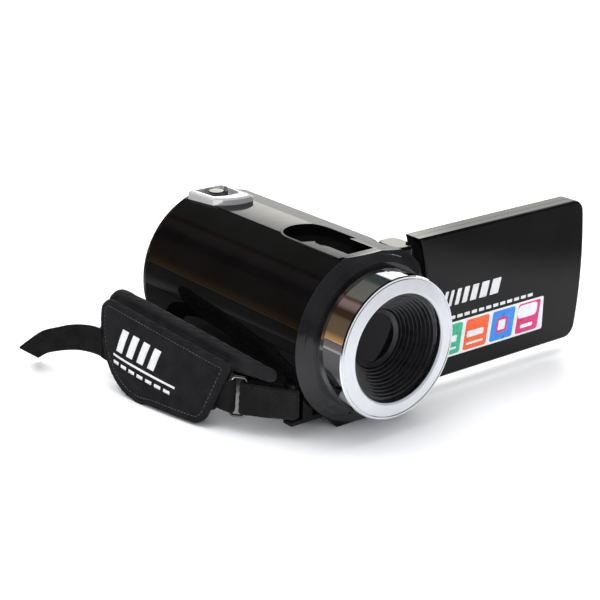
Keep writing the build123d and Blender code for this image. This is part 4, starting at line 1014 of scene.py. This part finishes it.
def studio_floor():
    """A pale floor, whose colour is dimmed for glossy rays only: painted shade in its reflections."""
    mesh = bpy.data.meshes.new("floor")
    mesh.from_pydata(FLOOR_CORNERS, [], [(0, 1, 2, 3)])
    material, tree, shader = blank("studio_floor")
    where = coordinates(tree)
    colour_noise(tree, shader, where, (0.9, 0.905, 0.915), (0.92, 0.925, 0.93), 3.0)
    settings(shader, Roughness=0.35)
    least = None
    for centre, distances, shares in FLOOR_REFLECTION_SHADE:
        away = node(tree, "ShaderNodeVectorMath", operation="DISTANCE")
        link(tree, where, "Vector", away, 0)
        away.inputs[1].default_value = centre
        fade = remap(tree, away, "Value", distances, shares, interpolation_type="SMOOTHSTEP")
        share = fade.outputs["Result"]
        if least is not None:
            lower = node(tree, "ShaderNodeMath", operation="MINIMUM")
            tree.links.new(least, lower.inputs[0])
            tree.links.new(share, lower.inputs[1])
            share = lower.outputs["Value"]
        least = share
    # painted shade: the floor's colour is dimmed only where glossy rays see it
    ray = node(tree, "ShaderNodeLightPath")
    seen = node(tree, "ShaderNodeMath", operation="SUBTRACT")
    seen.inputs[0].default_value = 1.0
    link(tree, ray, "Is Glossy Ray", seen, 1)
    kept = node(tree, "ShaderNodeMath", operation="MAXIMUM")
    tree.links.new(least, kept.inputs[0])
    link(tree, seen, "Value", kept, 1)
    dimmed = node(tree, "ShaderNodeVectorMath", operation="SCALE")
    tree.links.new(shader.inputs["Base Color"].links[0].from_socket, dimmed.inputs[0])
    link(tree, kept, "Value", dimmed, "Scale")
    link(tree, dimmed, "Vector", shader, "Base Color")
    mesh.materials.append(material)
    floor = bpy.data.objects.new("studio_floor", mesh)
    floor.location.z = -FLOOR_DROP
    bpy.context.scene.collection.objects.link(floor)


def studio_world():
    """Soft even light, with the bands of light that only polished surfaces mirror."""
    world = bpy.data.worlds.new("studio")
    bpy.context.scene.world = world
    world.use_nodes = True
    tree = world.node_tree
    background = tree.nodes["Background"]
    direction = node(tree, "ShaderNodeTexCoord")
    parts = node(tree, "ShaderNodeSeparateXYZ")
    link(tree, direction, "Generated", parts, "Vector")
    angle = node(tree, "ShaderNodeMath", operation="ARCTAN2")
    link(tree, parts, "Z", angle, 0)
    link(tree, parts, "X", angle, 1)
    turned = remap(tree, angle, "Value", (0.0, math.pi), (0.0, 1.0))
    bands = node(tree, "ShaderNodeValToRGB")
    stops = bands.color_ramp.elements
    stops.remove(stops[1])
    for degrees, colour in BANDS:
        stop = stops[0] if degrees == 0 else stops.new(degrees / HALF_TURN)
        stop.position = degrees / HALF_TURN
        stop.color = (*(c / BAND_TOP for c in colour), 1)
    link(tree, turned, "Result", bands, "Fac")
    strength = remap(
        tree, parts, "Y", (0.0, 0.25), (FRONT_SHARE, BAND_TOP), interpolation_type="SMOOTHSTEP"
    )
    scaled = node(tree, "ShaderNodeVectorMath", operation="SCALE")
    link(tree, bands, "Color", scaled, 0)
    link(tree, strength, "Result", scaled, "Scale")
    ray = node(tree, "ShaderNodeLightPath")
    choose = node(tree, "ShaderNodeMix", data_type="VECTOR")
    link(tree, ray, "Is Glossy Ray", choose, "Factor")
    soft, mirrored = [i for i in choose.inputs if i.type == "VECTOR" and i.name in "AB"]
    soft.default_value = SOFT_LIGHT
    tree.links.new(scaled.outputs["Vector"], mirrored)
    chosen = next(o for o in choose.outputs if o.type == "VECTOR")
    tree.links.new(chosen, background.inputs["Color"])
    background.inputs["Strength"].default_value = 1.0


def area_light(name, at, to, size, watts):
    """A soft light that polished surfaces don't mirror."""
    light = bpy.data.lights.new(name, "AREA")
    light.shape = "RECTANGLE"
    light.size, light.size_y = size
    light.energy = watts
    made = bpy.data.objects.new(name, light)
    made.location = at
    made.rotation_euler = (Vector(to) - Vector(at)).to_track_quat("-Z", "Y").to_euler()
    made.visible_glossy = False
    bpy.context.scene.collection.objects.link(made)


def studio_camera():
    """The camera, turned by its heading from +Y, its tilt down and its roll."""
    level = math.cos(TILT)
    ahead = Vector((math.sin(HEADING) * level, math.cos(HEADING) * level, -math.sin(TILT)))
    right = Vector((math.cos(HEADING), -math.sin(HEADING), 0))
    above = right.cross(ahead)
    rolled_right = right * math.cos(ROLL) + above * math.sin(ROLL)
    rolled_up = above * math.cos(ROLL) - right * math.sin(ROLL)
    data = bpy.data.cameras.new("camera")
    data.lens = CAMERA_LENS
    data.sensor_width = SENSOR_WIDTH
    data.clip_start = 0.01
    camera = bpy.data.objects.new("camera", data)
    turn = Matrix((rolled_right, rolled_up, -ahead)).transposed()
    camera.matrix_world = Matrix.Translation(CAMERA_AT) @ turn.to_4x4()
    bpy.context.scene.collection.objects.link(camera)
    bpy.context.scene.camera = camera


studio_floor()
studio_world()
for light in LIGHTS:
    area_light(*light)
studio_camera()
bpy.context.scene.view_settings.view_transform = "Standard"
